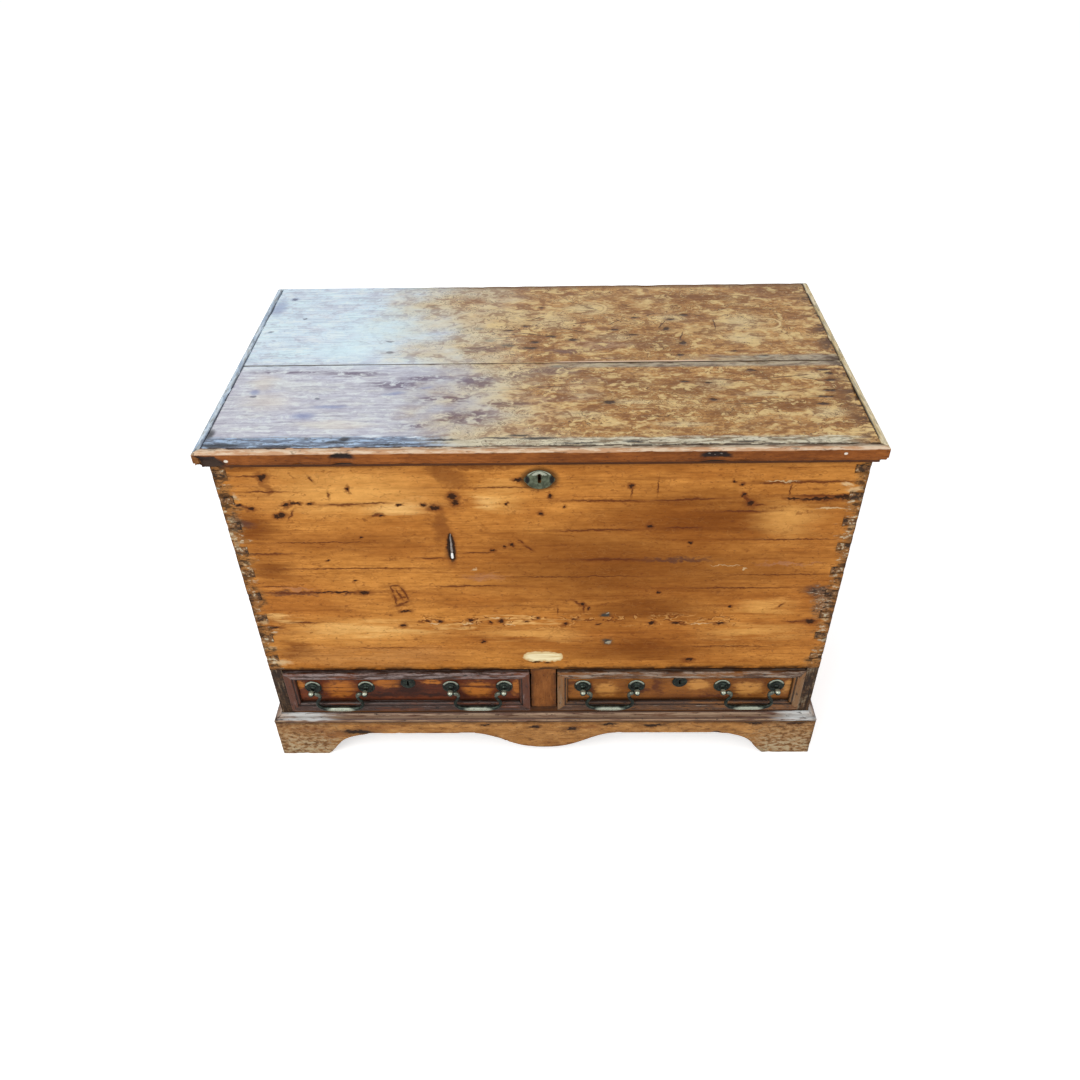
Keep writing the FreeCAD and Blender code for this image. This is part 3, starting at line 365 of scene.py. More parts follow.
FRONT_LINES = [
    (-476, 535, 44, 2.2), (-320, 500, 124, 1.5), (-476, 458, 30, 1.4), (-108, 534.5, 30, 1.9),
    (-190, 523, 24, 2.2), (-130, 457, 68, 1.5), (-325, 641, 38, 3.0), (-276, 644, 28, 1.8),
    (110, 645, 78, 2.3, -1), (238, 646, 66, 1.8, 2), (338, 621, 46, 1.9), (240, 587, 34, 1.8),
    (96, 583, 76, 2.2), (117, 517, 60, 3.2), (352, 449, 102, 1.7), (441, 680, 88, 2.2), (378, 678, 26, 2.0),
    (462, 652, 58, 2.0), (-371, 694, 7, 1.8, -60), (-313, 672, 1.6, 7), (-313, 675, 6, 1.4),
    (-348, 661, 1.8, 6), (-261, 458, 12, 2.4), (-245.5, 440, 21, 2.6, -70), (-251, 416, 15, 2.4, 28),
    (-264.5, 424, 16, 2.4, 96), (-268, 448, 10, 2.2, 102), (-256, 437, 16, 2.2, -68),
    (-250, 431, 10, 2.2, 25), (-256, 410, 14, 2.0, 10), (-417, 620, 13, 1.7, 60), (-491, 637, 13, 2.0, -21),
    (-418, 641, 14, 1.8, 8), (-275, 619, 9, 3.0, 25), (65, 415, 12, 2.2, -32), (75, 401, 1.9, 10),
    (29, 395, 1.4, 8), (340, 646, 13, 3.2, -56), (362, 634, 10, 1.8, 8), (151, 662, 1.4, 10),
    (193, 673, 1.0, 15), (409, 664, 1.2, 14), (431, 406, 8, 2.0, 45), (464, 364, 20, 2.4),
    (-440, 368, 32, 1.5), (-450, 443, 60, 2.0), (-20, 545, 11, 2.0, -40), (-34, 559, 7, 2.0, -35),
    (-300, 300, 60, 1.0), (250, 730, 200, 1.2), (430, 560, 80, 1.2), (-380, 560, 90, 1.0),
    (60, 478, 130, 0.9), (420, 480, 90, 1.0), (-60, 592, 0.5, 0.5), (350, 300, 90, 1.0),
    (-450, 668, 40, 1.6), (-470, 700, 30, 1.4), (-60, 674, 60, 1.2),
]
FRONT_HOLES = [
    (-449, 699, 8, 6.5), (-452, 694, 4, 4), (-314, 673, 3.4, 3.4), (-380, 643, 4.6, 3.4),
    (-421, 640, 4.6, 4.6), (-432, 620, 6.5, 5.5), (-440, 617, 5, 3), (-482, 634, 5, 4), (-500, 641, 5, 3.6),
    (-405, 645, 9, 2.4), (-143, 656, 7.5, 7), (-140, 643, 6, 5.5), (-175, 633, 8.5, 5.5), (-266, 619, 4, 3),
    (-372, 443, 40, 1.8), (-318, 442, 11, 4.0), (-248, 396, 10, 3.2), (-256, 359, 5.2, 4.4),
    (-110, 317, 4.2, 3.8), (150, 675, 4, 4.4), (346, 637, 8, 5.5), (334, 655, 3.4, 4), (183, 591, 4.6, 4.6),
    (17, 655, 3.6, 3.6), (2, 619, 3.6, 3.6), (42, 632, 2.6, 2.6), (-55, 639, 2.4, 3), (-81, 539, 4, 3),
    (-232, 638, 5, 2), (-193, 640, 4.4, 3), (456, 646, 30, 3.4), (500, 648, 24, 3.6), (418, 646, 14, 2.2),
    (491, 364, 11, 6), (200, 362, 7, 2.8), (246, 362, 8, 2.6), (326, 361, 9, 2.8), (278, 264, 9, 3.4),
    (73, 411, 5, 4), (43, 362, 4.4, 4), (-500, 355, 13, 3.6), (-48, 551, 3.4, 2.8), (255, 554, 3.4, 2.6),
    (340, 404, 3, 2.8), (-186, 369, 5, 3), (-132, 372, 5, 4), (-97, 366, 4, 3), (-74, 370, 5, 4),
    (-212, 370, 5, 2.2), (-8, 377, 4, 3), (-30, 368, 5, 2), (-160, 545, 3, 2), (-306, 570, 2.8, 2.2),
    (-370, 520, 3, 2), (-330, 470, 3.4, 2.4), (-60, 548, 3, 2.4), (-36, 689, 7, 3), (329, 678, 3.2, 3),
    (314, 682, 2.4, 2), (210, 440, 2.6, 2), (84, 400, 2.6, 3), (60, 372, 5, 2.4), (104, 360, 4, 2.4),
]
FRONT_NICKS = [
    (485, 626, 34, 2.6), (514, 664, 20, 7), (500, 674, 14, 4), (322, 503, 30, 1.6), (356, 494, 4.4, 3.4),
    (-118, 496, 8, 3.2), (-514, 369, 12, 6), (-519, 600, 9, 22), (-517, 513, 14, 6), (-506, 262, 26, 9),
    (-514, 300, 12, 8), (522, 587, 8, 16), (519, 372, 8, 7), (291, 360, 24, 2.0), (393, 682, 34, 1.6),
    (512, 336, 6, 8), (-522, 560, 6, 20), (500, 420, 5, 4), (-200, 364, 16, 2.4), (-84, 378, 10, 2.4),
    (-140, 362, 14, 2.2), (-509, 655, 16, 3), (515, 404, 6, 5), (-60, 360, 12, 2),
]


def front_grain(s):
    """Honey pine in dark and pale patches, specked, with worm tracks in a row along its foot, each with a
    painted highlight beside it.
    """
    pine(s, *HONEY, mottle=0.13)
    s.paint(s.smeared(), FRONT_TONES)
    s.tint(s.noise((0.12, 0.014), 4, 0.7), 0.13)
    s.paint(s.ragged(30, 8), FRONT_SHADES)
    s.lay(BROWN, s.patches((0.013, 0.008), 3, 0.6, 0.62, 0.7), 0.5)
    s.tint(s.noise((0.012, 0.0075), 3, 0.6), 0.08)
    row = s.both(s.band(s.axes[2], 0.356, 0.384, 0.008), s.band(s.axes[0], -0.24, 0.36, 0.05))
    for worm in (((0.03, 0.012), 0.03, 0.54, 3), ((0.015, 0.008), 0.04, 0.53, 6)):
        line, ridge_highlight = s.worms(*worm)
        # A painted highlight beside each track makes it look raised.
        s.lay((222, 170, 102), ridge_highlight, s.scaled(row, 0.36, 0.04))
        s.lay((106, 54, 18), line, s.scaled(row, 0.7, 0.22))


def front_repairs(s, place):
    """The two filled holes, the scraped bare patch with soot round it, the slot of the old nail painted dark
    as its shade, and the keyhole painted black as shade.
    """
    plugs = s.away(place, [(116, 385, 8, 5.4), (122, 315, 9, 7.5)])
    s.lay((104, 70, 40), (plugs, 1.8, 0.8), 0.6)
    s.lay((64, 60, 54), (plugs, 1.1, 0.5))
    s.lay((176, 166, 144), s.marks(place, [(124, 313, 7, 4), (118, 388, 4, 1.5)], 0.6), 0.8)
    bare = s.away(s.ragged(10, 6), [(3, 274.5, 31, 15), (-14, 274, 23, 14), (20, 273, 19, 12)])
    s.lay((216, 190, 138), (bare, 1.08, 0.86))
    s.lay((240, 226, 184), (bare, 0.92, 0.5), (s.streak, 0.6, 0.46))
    key_x, key_z = CHEST_KEY
    soot = [(-18, 259, 16, 2.6), (10, 257, 12, 2.2), (key_x - 33, key_z, 8, 3)]
    s.lay(SOOT, s.marks(place, soot, 0.5), 0.9)
    # The keyhole opening is painted black on the board: painted shade inside the hole.
    keyhole = s.marks(s.place, [(key_x, key_z + 2.5, 3.6, 10.5)], 0.3)
    s.lay((14, 10, 8), keyhole)
    s.nicks = s.marks(place, FRONT_NICKS, 0.6)
    s.lay((218, 190, 144), s.nicks, 0.62)
    # The slot of the old nail: painted shade in the recess round it.
    slot = s.away(s.ragged(4, 3), [(-154, 547, 7.6, 34)])
    s.lay(BROWN, (slot, 1.7, 0.8), 0.55)
    s.lay((50, 30, 18), (slot, 1.05, 0.75))
    plate = s.away(s.place, [(key_x, key_z, 27, 20)])
    s.lay((56, 36, 18), (plate, 1.35, 0.95), s.maths("SUBTRACT", 1.0, keyhole), 0.75)


def front_ends(s):
    """Battered end grain over the dovetails. What it gives back is the height of its knocks."""
    reach = s.scaled(s.noise((0.05, 0.016), 3, 0.6), 0.085, s.apart(s.axes[0], 0.003))
    ends = s.rise(reach, 0.545, 0.562)
    s.lay((136, 98, 58), ends, 0.55)
    knocks = s.battered(s.both(ends, 0.8), GRIME, CHALK, 0.012, 1.5)
    grey = s.marks(s.ragged(30, 12), [(505, 410, 22, 44), (498, 440, 26, 16), (-514, 605, 12, 26)], 0.7)
    s.lay((112, 92, 72), grey, 0.6)
    s.battered(grey, (58, 44, 34), (172, 156, 132), 0.006)
    return s.both(ends, knocks)


def front_rims(s):
    """Dust and painted shade over the drawers, a painted shadow band under the lid, dirty edges and an inside
    without wax.
    """
    x, y, z = s.axes
    # Dark band just over the drawer mouldings: partly dirt, partly painted shade.
    dust_and_shade = s.band(z, 0.238, 0.245, 0.003)
    s.lay((52, 34, 24), dust_and_shade, s.patches((0.04, 0.02), 3, 0.6, 0.36, 0.56), 0.85)
    # Painted shadow of the lid: a dark band along the top of the front.
    s.lay((96, 50, 18), (s.scaled(s.streak, 0.012, z), 0.716, 0.742), 0.55)
    s.lay((60, 40, 26), s.wear(), s.patches((0.02, 0.012), 3, 0.6, 0.4, 0.62), 0.75)
    s.lay(aged(s), (y, FRONT + 0.01, FRONT + 0.015), (s.maths("ABSOLUTE", x), 0.51, 0.506))


def front_material():
    """The front board, with its own knots, cracks, repairs and worn ends."""
    s = Shade("front_pine", shift=(3.1, 0.28, -0.03))
    front_grain(s)
    cracks = s.away(s.ragged(8, 4), FRONT_LINES)
    thin = s.rise(cracks, 1.075, 0.5)
    s.lay(BROWN, (cracks, 2.3, 0.9), 0.38)
    s.lay((94, 44, 16), thin, 0.82)
    place = s.ragged()
    nearest = s.away(place, FRONT_HOLES)
    s.holes(nearest, SOOT, BROWN, 0.75)
    front_repairs(s, place)
    knocks = front_ends(s)
    front_rims(s)
    s.carve((s.rise(nearest, 1.1, 0.5), -0.0012), (thin, -0.0006), (knocks, 0.0014), (s.nicks, -0.0004))
    return s.finish(waxed(s), gloss=0.09)


def plain_wood(name, along, shift, tones, heart=(0.11, 0.45), grime=(60, 40, 26), faded=None, gloss=0.16,
               mottle=0.13):
    """A board with no marks of its own: grain, grime on its edges, faded or rubbed patches."""
    s = Shade(name, along, shift)
    pine(s, *tones, heart=heart, flecks=0.5, mottle=mottle)
    if faded:
        rub = s.patches((0.07, 0.018), 4, 0.65, 0.52, 0.68)
        s.lay(faded, rub, 0.7)
    dents = s.patches((0.012, 0.006), 2, 0.6, 0.66, 0.74, s.place)
    s.lay(grime, dents, 0.45)
    edge = s.both(s.wear(), s.patches((0.02, 0.012), 3, 0.6, 0.38, 0.6, s.place))
    s.lay(grime, edge, 0.7)
    s.carve((dents, -0.0004))
    return s.finish(waxed(s), gloss=gloss)


def end_material(name, shift):
    """A case end: grain from front to back, and dirty end grain on its pins and beside the drawers."""
    s = Shade(name, "Y", shift, "yz")
    pine(s, *HONEY, heart=(0.62, 0.45), mottle=0.15)
    x, y, z = s.axes
    place = s.ragged()
    near = s.rise(y, FRONT + 0.006, FRONT - 0.001)
    end_grain = s.noise((0.01, 0.008, 0.01), 4, 0.7, s.place)
    s.lay((120, 88, 56), near, 0.9)
    s.lay(GRIME, near, (end_grain, 0.5, 0.6))
    s.lay((190, 178, 150), near, (end_grain, 0.44, 0.36))
    low = s.both(near, (z, 0.246, 0.238))
    upright = s.noise((0.0042, 0.02, 0.055), 3, 0.65, s.place)
    s.lay((62, 46, 34), low, 0.92)
    s.lay((26, 20, 16), low, (upright, 0.52, 0.6))
    s.lay((140, 124, 100), low, (upright, 0.44, 0.37), 0.85)
    scuff = s.patches((0.09, 0.03), 4, 0.65, 0.56, 0.7)
    s.lay((112, 64, 28), scuff, 0.4)
    knots = [(-180, 640, 9, 7), (40, 520, 12, 9), (190, 330, 8, 6), (-90, 300, 6, 5), (120, 690, 5, 4),
             (-210, 440, 5, 4)]
    nearest = s.away(place, knots)
    s.holes(nearest, (52, 26, 12), BROWN)
    cracks = [(-60, 600, 90, 1.5), (130, 455, 110, 1.4), (-150, 385, 80, 1.6), (60, 700, 140, 1.2)]
    thin = s.marks(place, cracks, 0.5)
    s.lay((84, 40, 16), thin, 0.7)
    edge = s.both(s.wear(), (end_grain, 0.4, 0.6))
    s.lay((50, 36, 26), edge, 0.75)
    deep = s.rise(s.maths("ABSOLUTE", x), CASE_HALF - 0.01, CASE_HALF - 0.015)
    s.lay(aged(s), deep, (y, FRONT + 0.006, FRONT + 0.014))
    s.carve((s.rise(nearest, 1.1, 0.5), -0.0008), (thin, -0.0005), (s.both(near, end_grain), 0.001))
    return s.finish(waxed(s), gloss=0.16)


LID_BROWN = [
    (0.78, 0.85, (122, 76, 34), [
        (212, 50, 60, 44), (150, -100, 90, 26), (250, -120, 60, 30), (60, -66, 60, 16), (380, -70, 36, 16),
        (70, 22, 50, 14), (300, 240, 240, 20), (470, 262, 60, 30), (420, -176, 60, 20), (300, -200, 40, 12),
        (-100, 26, 30, 10), (505, -150, 24, 110)]),
    (0.60, 0.80, (150, 118, 98), [
        (110, 40, 90, 22), (-20, -60, 60, 16), (40, -150, 60, 14), (120, -12, 60, 8)]),
]
LID_CREAM = [
    (0.70, 0.80, (218, 196, 148), [
        (20, 140, 60, 46), (90, 190, 56, 34), (300, -104, 40, 26), (380, 130, 60, 40), (250, 150, 40, 26),
        (70, -200, 50, 22), (470, -200, 40, 20), (-60, 160, 70, 50), (380, 60, 50, 30), (230, -232, 60, 14),
        (130, 72, 50, 18), (-100, 110, 60, 60), (380, -140, 60, 14), (470, -80, 36, 20),
        (150, -168, 50, 12)]),
]
LID_BLACK = [
    (276, 158, 9, 5), (249, 140, 9, 4.4), (237, 102, 8, 7), (263, 43, 7, 9), (252, -2, 7, 4),
    (116, -163, 11, 5.5), (371, -60, 12, 4.4), (502, -74, 9, 4), (469, -174, 12, 3.4), (291, -157, 7, 3.4),
    (-118, 110, 9, 4.4), (-153, 111, 7, 4), (-150, 98, 10, 2.4), (-497, 246, 7, 5), (-514, 104, 6, 4),
    (-280, 61, 7, 4.4), (-274, 18, 8, 4.6), (-459, 158, 6, 4), (-95, 60, 11, 4.4), (-60, 40, 14, 5),
    (-10, 52, 8, 4.4), (170, 80, 12, 3.4), (30, -40, 12, 4.4), (490, -130, 14, 4.4), (500, -96, 12, 3.4),
    (478, -150, 16, 3.4), (180, 150, 7, 3.4), (-376, -142, 6, 3.4), (-488, -134, 6, 5), (350, 10, 8, 3.4),
    (400, -10, 10, 3.4), (140, 100, 9, 3.4), (60, 60, 9, 4.4), (-214, 208, 6, 3.4), (290, -100, 8, 3),
    (250, -96, 9, 3.4), (-30, 118, 7, 4), (0, 196, 6, 3), (-60, 100, 12, 3), (20, 74, 12, 4),
    (-20, 30, 16, 4.4), (496, -60, 14, 3),
]
LID_LINES = [
    (70, 214, 30, 1.4, -38), (100, 190, 16, 1.4, -30), (230, 120, 24, 1.6, 62), (262, 70, 22, 1.6, 75),
    (330, 120, 1.4, 26), (210, 160, 20, 1.6, 30), (300, 158, 20, 1.5, -28), (420, -84, 60, 1.8, 8),
    (330, -92, 36, 1.8, -10), (468, -92, 26, 1.8, -22), (-20, 84, 34, 1.8, -16), (-70, 70, 26, 1.8, 10),
    (60, 100, 30, 1.8, -24), (-10, 150, 26, 1.6, 30), (80, 130, 24, 1.6, 12), (140, 130, 18, 1.6, 40),
    (170, 200, 14, 1.4, -34), (350, 180, 20, 1.4, 24), (-330, 60, 22, 1.8, -26), (-380, 160, 20, 1.2, 8),
    (420, 180, 40, 1.2, 0), (20, -110, 40, 1.5, 4), (200, -210, 40, 1.4, -3), (350, -170, 46, 1.4, 2),
    (-60, -120, 46, 1.5, 3),
]
LID_RINGS = [(427, 118, 27, 22), (93, 191, 34, 25)]
LID_PLUM = [
    (-108, -92, 50, 32), (-203, -77, 60, 14), (-122, -204, 66, 24), (-203, -228, 34, 12),
    (-250, -100, 60, 18), (-160, -150, 70, 10), (-60, -170, 60, 12), (-40, -76, 40, 14), (-110, 30, 60, 12),
    (30, -56, 60, 14), (-440, -50, 90, 12), (-330, -60, 70, 10), (60, 20, 60, 14),
]
# Bluish marks: dark marks tinted by the painted reflection on the left.
LID_BLUE = [
    (-389, -197, 26, 14), (-497, 246, 14, 10), (-350, -170, 40, 8), (-520, 210, 20, 50),
    (-488, -120, 12, 12), (-250, -128, 26, 7, 10), (-196, -110, 18, 5, 12),
]
LID_NOTCHES = [
    (-308, -268, 12, 9, 30), (-320, -277, 26, 4), (-63, -268, 34, 4), (0, -270, 40, 5), (-30, -262, 26, 4),
    (-505, -283, 60, 8), (-150, -272, 30, 4), (150, -281, 24, 4), (330, -284, 26, 3), (-400, -286, 60, 3),
    (-230, -284, 50, 3), (60, -285, 50, 3), (-530, -250, 12, 20),
]


def lid_tan(s):
    """Tan pine in rubbed, dirty and scribbled patches."""
    tones = ((194, 146, 86), (174, 126, 70), (132, 84, 40), (98, 60, 30))
    pine(s, *tones, ring_strength=0.08, heart=(-0.3, 0.5), mottle=0.14)
    s.lay((208, 174, 118), (s.blotch, 0.51, 0.6), 0.5)
    s.lay((144, 94, 48), (s.blotch, 0.47, 0.38), 0.55)
    s.paint(s.broad, LID_BROWN)
    s.paint(s.broad, LID_CREAM)
    s.lay((120, 72, 28), (s.dabs, 0.5, 0.37), 0.72)
    s.lay((220, 190, 130), (s.dabs, 0.51, 0.64), 0.78)
    s.lay((84, 48, 20), s.scrawl)
    s.lay((92, 54, 22), (s.apart(s.dabs, 0.43), 0.01, 0.003), 0.45)
    s.lay((104, 66, 32), (s.fibres, 0.54, 0.68), 0.3)
    s.lay((96, 58, 26), (s.specks, 0.58, 0.67), 0.32)
    s.lay((230, 208, 158), (s.specks, 0.41, 0.33), 0.3)
    for ring in LID_RINGS:
        beside = s.apart(s.reach(s.ragged(6, 2), *ring), 1.0)
        open_side = s.rise(s.axes[0], (ring[0] - 18) * MM, (ring[0] + 4) * MM)
        s.lay((140, 94, 50), (beside, 0.22, 0.1), open_side, 0.4)
        s.lay((216, 186, 132), (beside, 0.13, 0.04), open_side, 0.9)
    s.lay((76, 44, 20), s.thin, 0.88)
    s.holes(s.nearest, (60, 36, 18), (112, 70, 34), 0.55)


def lid_seam(s):
    """Grey filler in the joint of the boards, widest at the right, and the light line beside it."""
    x, y = s.axes[:2]
    grit = s.noise((0.022, 0.006), 4, 0.68)
    wide = s.both(s.band(s.scaled(grit, 0.016, y), SEAM - 0.01, SEAM + 0.03, 0.006), (x, 0.2, 0.4))
    slim = s.both(s.band(s.scaled(grit, 0.012, y), SEAM - 0.012, SEAM + 0.01, 0.004), (x, -0.04, 0.1))
    filler = s.over((176, 168, 148), (98, 92, 84), (grit, 0.4, 0.6))
    s.lay(filler, s.maths("MAXIMUM", wide, slim), 0.74)
    light_line = s.band(y, SEAM + 0.0015, SEAM + 0.0055, 0.001)
    s.lay((226, 192, 162), light_line, (x, -0.02, 0.06), (x, 0.32, 0.28), 0.85)


def lid_strip(s):
    """The dark weathered strip along the front edge, at the right."""
    strip = s.both(s.band(s.bent_y, LID_EDGE - 0.01, LID_EDGE + 0.031, 0.005), (s.axes[0], 0.53, 0.47))
    tone = s.over((212, 206, 182), (126, 114, 94), (s.strip_grit, 0.44, 0.58))
    s.lay(s.over(tone, (62, 56, 48), (s.specks, 0.56, 0.64), 0.7), strip, 0.86)


def lid_bloom_and_sheen(s, rear):
    """The cold pale bloom that covers the left half: partly bleached wax, partly a painted reflection of a
    window, bluer towards the rear, which also tints the dark marks and the edge strip blue.
    """
    x, y = s.axes[:2]
    s.colour = s.over((192, 192, 202), (206, 224, 236), rear)
    s.lay(s.over((210, 212, 208), (214, 238, 242), rear), (s.blotch, 0.52, 0.62), 0.6)
    s.lay((192, 194, 210), (s.blotch, 0.46, 0.38), 0.5)
    s.lay((162, 160, 176), (s.streak, 0.47, 0.64), 0.3)
    s.lay((158, 152, 168), (s.dabs, 0.48, 0.38), 0.38)
    s.lay((228, 236, 234), (s.dabs, 0.54, 0.62), 0.45)
    s.lay((126, 130, 154), (s.specks, 0.59, 0.67), 0.22)
    s.lay(s.over((140, 136, 156), (160, 176, 196), rear), (s.fibres, 0.53, 0.66), 0.42)
    s.lay((232, 238, 238), (s.fibres, 0.47, 0.36), 0.4)
    s.lay((142, 138, 150), (x, -0.3, -0.14), (y, -0.02, -0.06), 0.42)
    # Brightest patches of the painted reflection.
    white = [(-290, 110, 110, 70), (-350, 30, 100, 40), (-250, 190, 60, 30)]
    s.lay((214, 240, 246), s.marks(s.broad, white, 0.9), 0.62)
    tans = [(-460, -150, 60, 34), (-330, -225, 90, 16), (-480, -90, 30, 40), (-220, 30, 60, 30),
            (-160, -200, 40, 16)]
    s.lay((214, 202, 186), s.marks(s.broad, tans, 0.9), 0.5)
    s.lay((108, 124, 172), s.marks(s.spot_place, LID_BLUE, 0.8), 0.6)
    # The dark strip along the front edge, tinted blue by the painted reflection.
    shore = s.over((156, 184, 214), (66, 88, 118), (s.strip_grit, 0.4, 0.55))
    shore = s.over(shore, (38, 46, 62), (s.specks, 0.56, 0.63), 0.75)
    s.lay(shore, s.band(s.bent_y, LID_EDGE - 0.01, LID_EDGE + 0.04, 0.005), 0.88)
    s.lay((66, 72, 98), (s.nearest, 1.2, 0.5), 0.75)
    s.lay((118, 120, 142), s.thin, 0.3)


def lid_rims(s):
    """Notches of the front edge, open joints, dirty rims, and the flanks and underside without the bloom and
    its painted reflection.
    """
    x, y, z = s.axes
    s.lay((34, 34, 38), s.marks(s.ragged(8, 4), LID_NOTCHES, 0.7), 0.88)
    s.lay((222, 228, 232), s.marks(s.spot_place, [(-268, -260, 24, 5), (-200, -262, 16, 3)], 0.7), 0.8)
    s.lay(aged(s), (z, *LID_FACE))
    joint = s.band(y, SEAM - 0.0018, SEAM + 0.0014, 0.0008)
    gap = s.band(y, LID_EDGE - 0.001, LID_EDGE + 0.003, 0.0015)
    gap = s.both(gap, s.patches((0.02, 0.02), 2, 0.6, 0.42, 0.52))
    s.lay((66, 52, 42), s.maths("MAXIMUM", joint, gap), 0.8)
    upper = s.rise(z, *LID_FACE[::-1])
    s.lay((66, 42, 28), (x, 0.494, 0.532), (s.dabs, 0.56, 0.42), upper, 0.8)
    s.lay((96, 62, 34), (s.scaled(s.dabs, 0.02, y), 0.286, 0.304), (x, -0.36, -0.05), upper, 0.75)


def lid_material(name, shift, dab_depth):
    """The lid boards: stained tan pine, turning at the left to a cold pale bloom that is partly bleached wax
    and partly a painted reflection of a window.
    """
    s = Shade(name, shift=shift, plane="xy")
    x, y = s.axes[:2]
    s.spot_place, s.broad = s.ragged(9, 5), s.smeared(50)
    s.blotch = s.noise((0.075, 0.03), 4, 0.62)
    s.dabs = s.noise((0.036, dab_depth), 3, 0.64, s.pushed(s.fibre, (0.03, 0.02), 2, 0.5, 0.06))
    s.specks = s.noise((0.0095, 0.0052), 3, 0.6)
    s.fibres = s.noise((0.05, 0.0048), 3, 0.62)
    s.strip_grit = s.noise((0.04, 0.0065), 4, 0.7)
    s.bent_y = s.scaled(s.strip_grit, 0.018, y)
    outline = s.rise(s.apart(s.dabs, 0.54), 0.016, 0.005)
    s.scrawl = s.both(outline, s.patches((0.09, 0.04), 2, 0.5, 0.44, 0.54), 0.9)
    s.thin = s.marks(s.ragged(5, 2), LID_LINES, 0.4)
    s.nearest = s.away(s.spot_place, LID_BLACK)
    lid_tan(s)
    lid_seam(s)
    lid_strip(s)
    rear = s.rise(y, -0.06, 0.0)
    far = s.scaled(s.noise((0.14, 0.09), 4, 0.6), 0.4, s.scaled(rear, 0.1, x))
    pale = s.over((208, 196, 166), (148, 120, 96), (s.dabs, 0.49, 0.4), 0.75)
    s.lay(pale, (far, 0.28, 0.1), 0.78)
    s.lay((92, 64, 44), s.scrawl, (far, 0.34, 0.2), 0.8)
    under = s.colour
    lid_bloom_and_sheen(s, rear)
    # Where the bloom and its painted reflection lie, over the left.
    bloom = s.rise(far, 0.15, -0.05)
    s.colour = s.over(under, s.colour, bloom, 0.94)
    plum = s.both(s.marks(s.broad, LID_PLUM, 0.7), (s.dabs, 0.64, 0.44))
    s.lay(s.over((112, 80, 68), (98, 82, 104), bloom), plum, 0.85)
    lid_rims(s)
    s.carve((s.rise(s.nearest, 1.2, 0.5), -0.0008), (s.dabs, 0.0012), (s.specks, 0.0004), grain=1.4)
    smear = s.noise((0.1, 0.06), 3, 0.6, s.place)
    return s.finish(s.scaled(smear, 0.3, 0.28), gloss=0.18)


def lid_edge_material(name, along, top, nose, side, line):
    """A lid moulding: pale nose, partly rubbed and partly painted highlight, honey flank, foot darkened as
    painted shade, and a dark line where it meets the boards.
    """
    s = Shade(name, along, (1.3, 0.4, 0.2))
    pine(s, side, (124, 68, 24), (92, 48, 17), (62, 30, 12), heart=(0.4, 0.3), ring_strength=0.12,
         mottle=0.3)
    x, y, z = s.axes
    place = s.ragged(7, 4)
    rub = s.noise((0.045, 0.007), 4, 0.68)
    high = s.scaled(rub, 0.007, z)
    lit_rubbed_nose = s.rise(high, LID_TOP - 0.0022, LID_TOP - 0.0004)
    # The nose's tone: rubbing and painted highlight.
    rubbed = s.over(top, nose, (rub, 0.42, 0.58))
    rubbed = s.over(rubbed, line, s.patches((0.02, 0.006), 3, 0.6, 0.6, 0.68), 0.6)
    if along == "X":
        flat = s.both((y, LID_EDGE - 0.0095, LID_EDGE - 0.0065), (x, -0.45, 0.25))
        grey = s.over((172, 162, 138), (92, 78, 62), (rub, 0.44, 0.56))
        rubbed = s.over(rubbed, grey, flat, 0.8)
    else:
        weathered = s.patches((0.03, 0.006), 3, 0.6, 0.5, 0.62)
        rubbed = s.over(rubbed, (132, 130, 112), weathered, 0.55)
    s.lay(rubbed, lit_rubbed_nose, 0.93)
    # Painted shade on the foot of the moulding, which faces down.
    foot = s.rise(high, LID_TOP - 0.0195, LID_TOP - 0.0245)
    s.lay((52, 28, 14), foot, 0.72)
    if along == "X":
        # Black marks: two burns, and at the left corner painted shade in the broken-away hollow.
        black = [(-309, 751, 24, 8), (277, 748, 30, 6.5), (-522, 739, 34, 14), (-536, 745, 14, 10)]
        burns_and_shade = s.marks(place, black, 0.4)
        s.lay((24, 20, 20), burns_and_shade, 0.95)
        bright = [(-492, 744, 4, 3), (477, 749, 3.4, 2.6)]
        s.lay((222, 212, 196), s.marks(s.place, bright, 0.4))
        faint = [(267, 750, 2.4, 1.4), (276, 748, 2, 1.2), (285, 749, 2.4, 1.6)]
        s.lay((150, 142, 132), s.marks(place, faint, 0.6), 0.7)
        gap = s.band(y, LID_EDGE - 0.003, LID_EDGE + 0.002, 0.0012)
    else:
        gap = s.rise(s.maths("ABSOLUTE", x), LID_HIGH.x + 0.0042, LID_HIGH.x + 0.0008)
    broken = s.patches((0.03, 0.01), 3, 0.6, 0.36, 0.5)
    s.lay(line, gap, broken, 0.92)
    edge = s.both(s.wear(), (rub, 0.55, 0.7))
    s.lay(line, edge, 0.4)
    return s.finish(waxed(s), gloss=0.16)


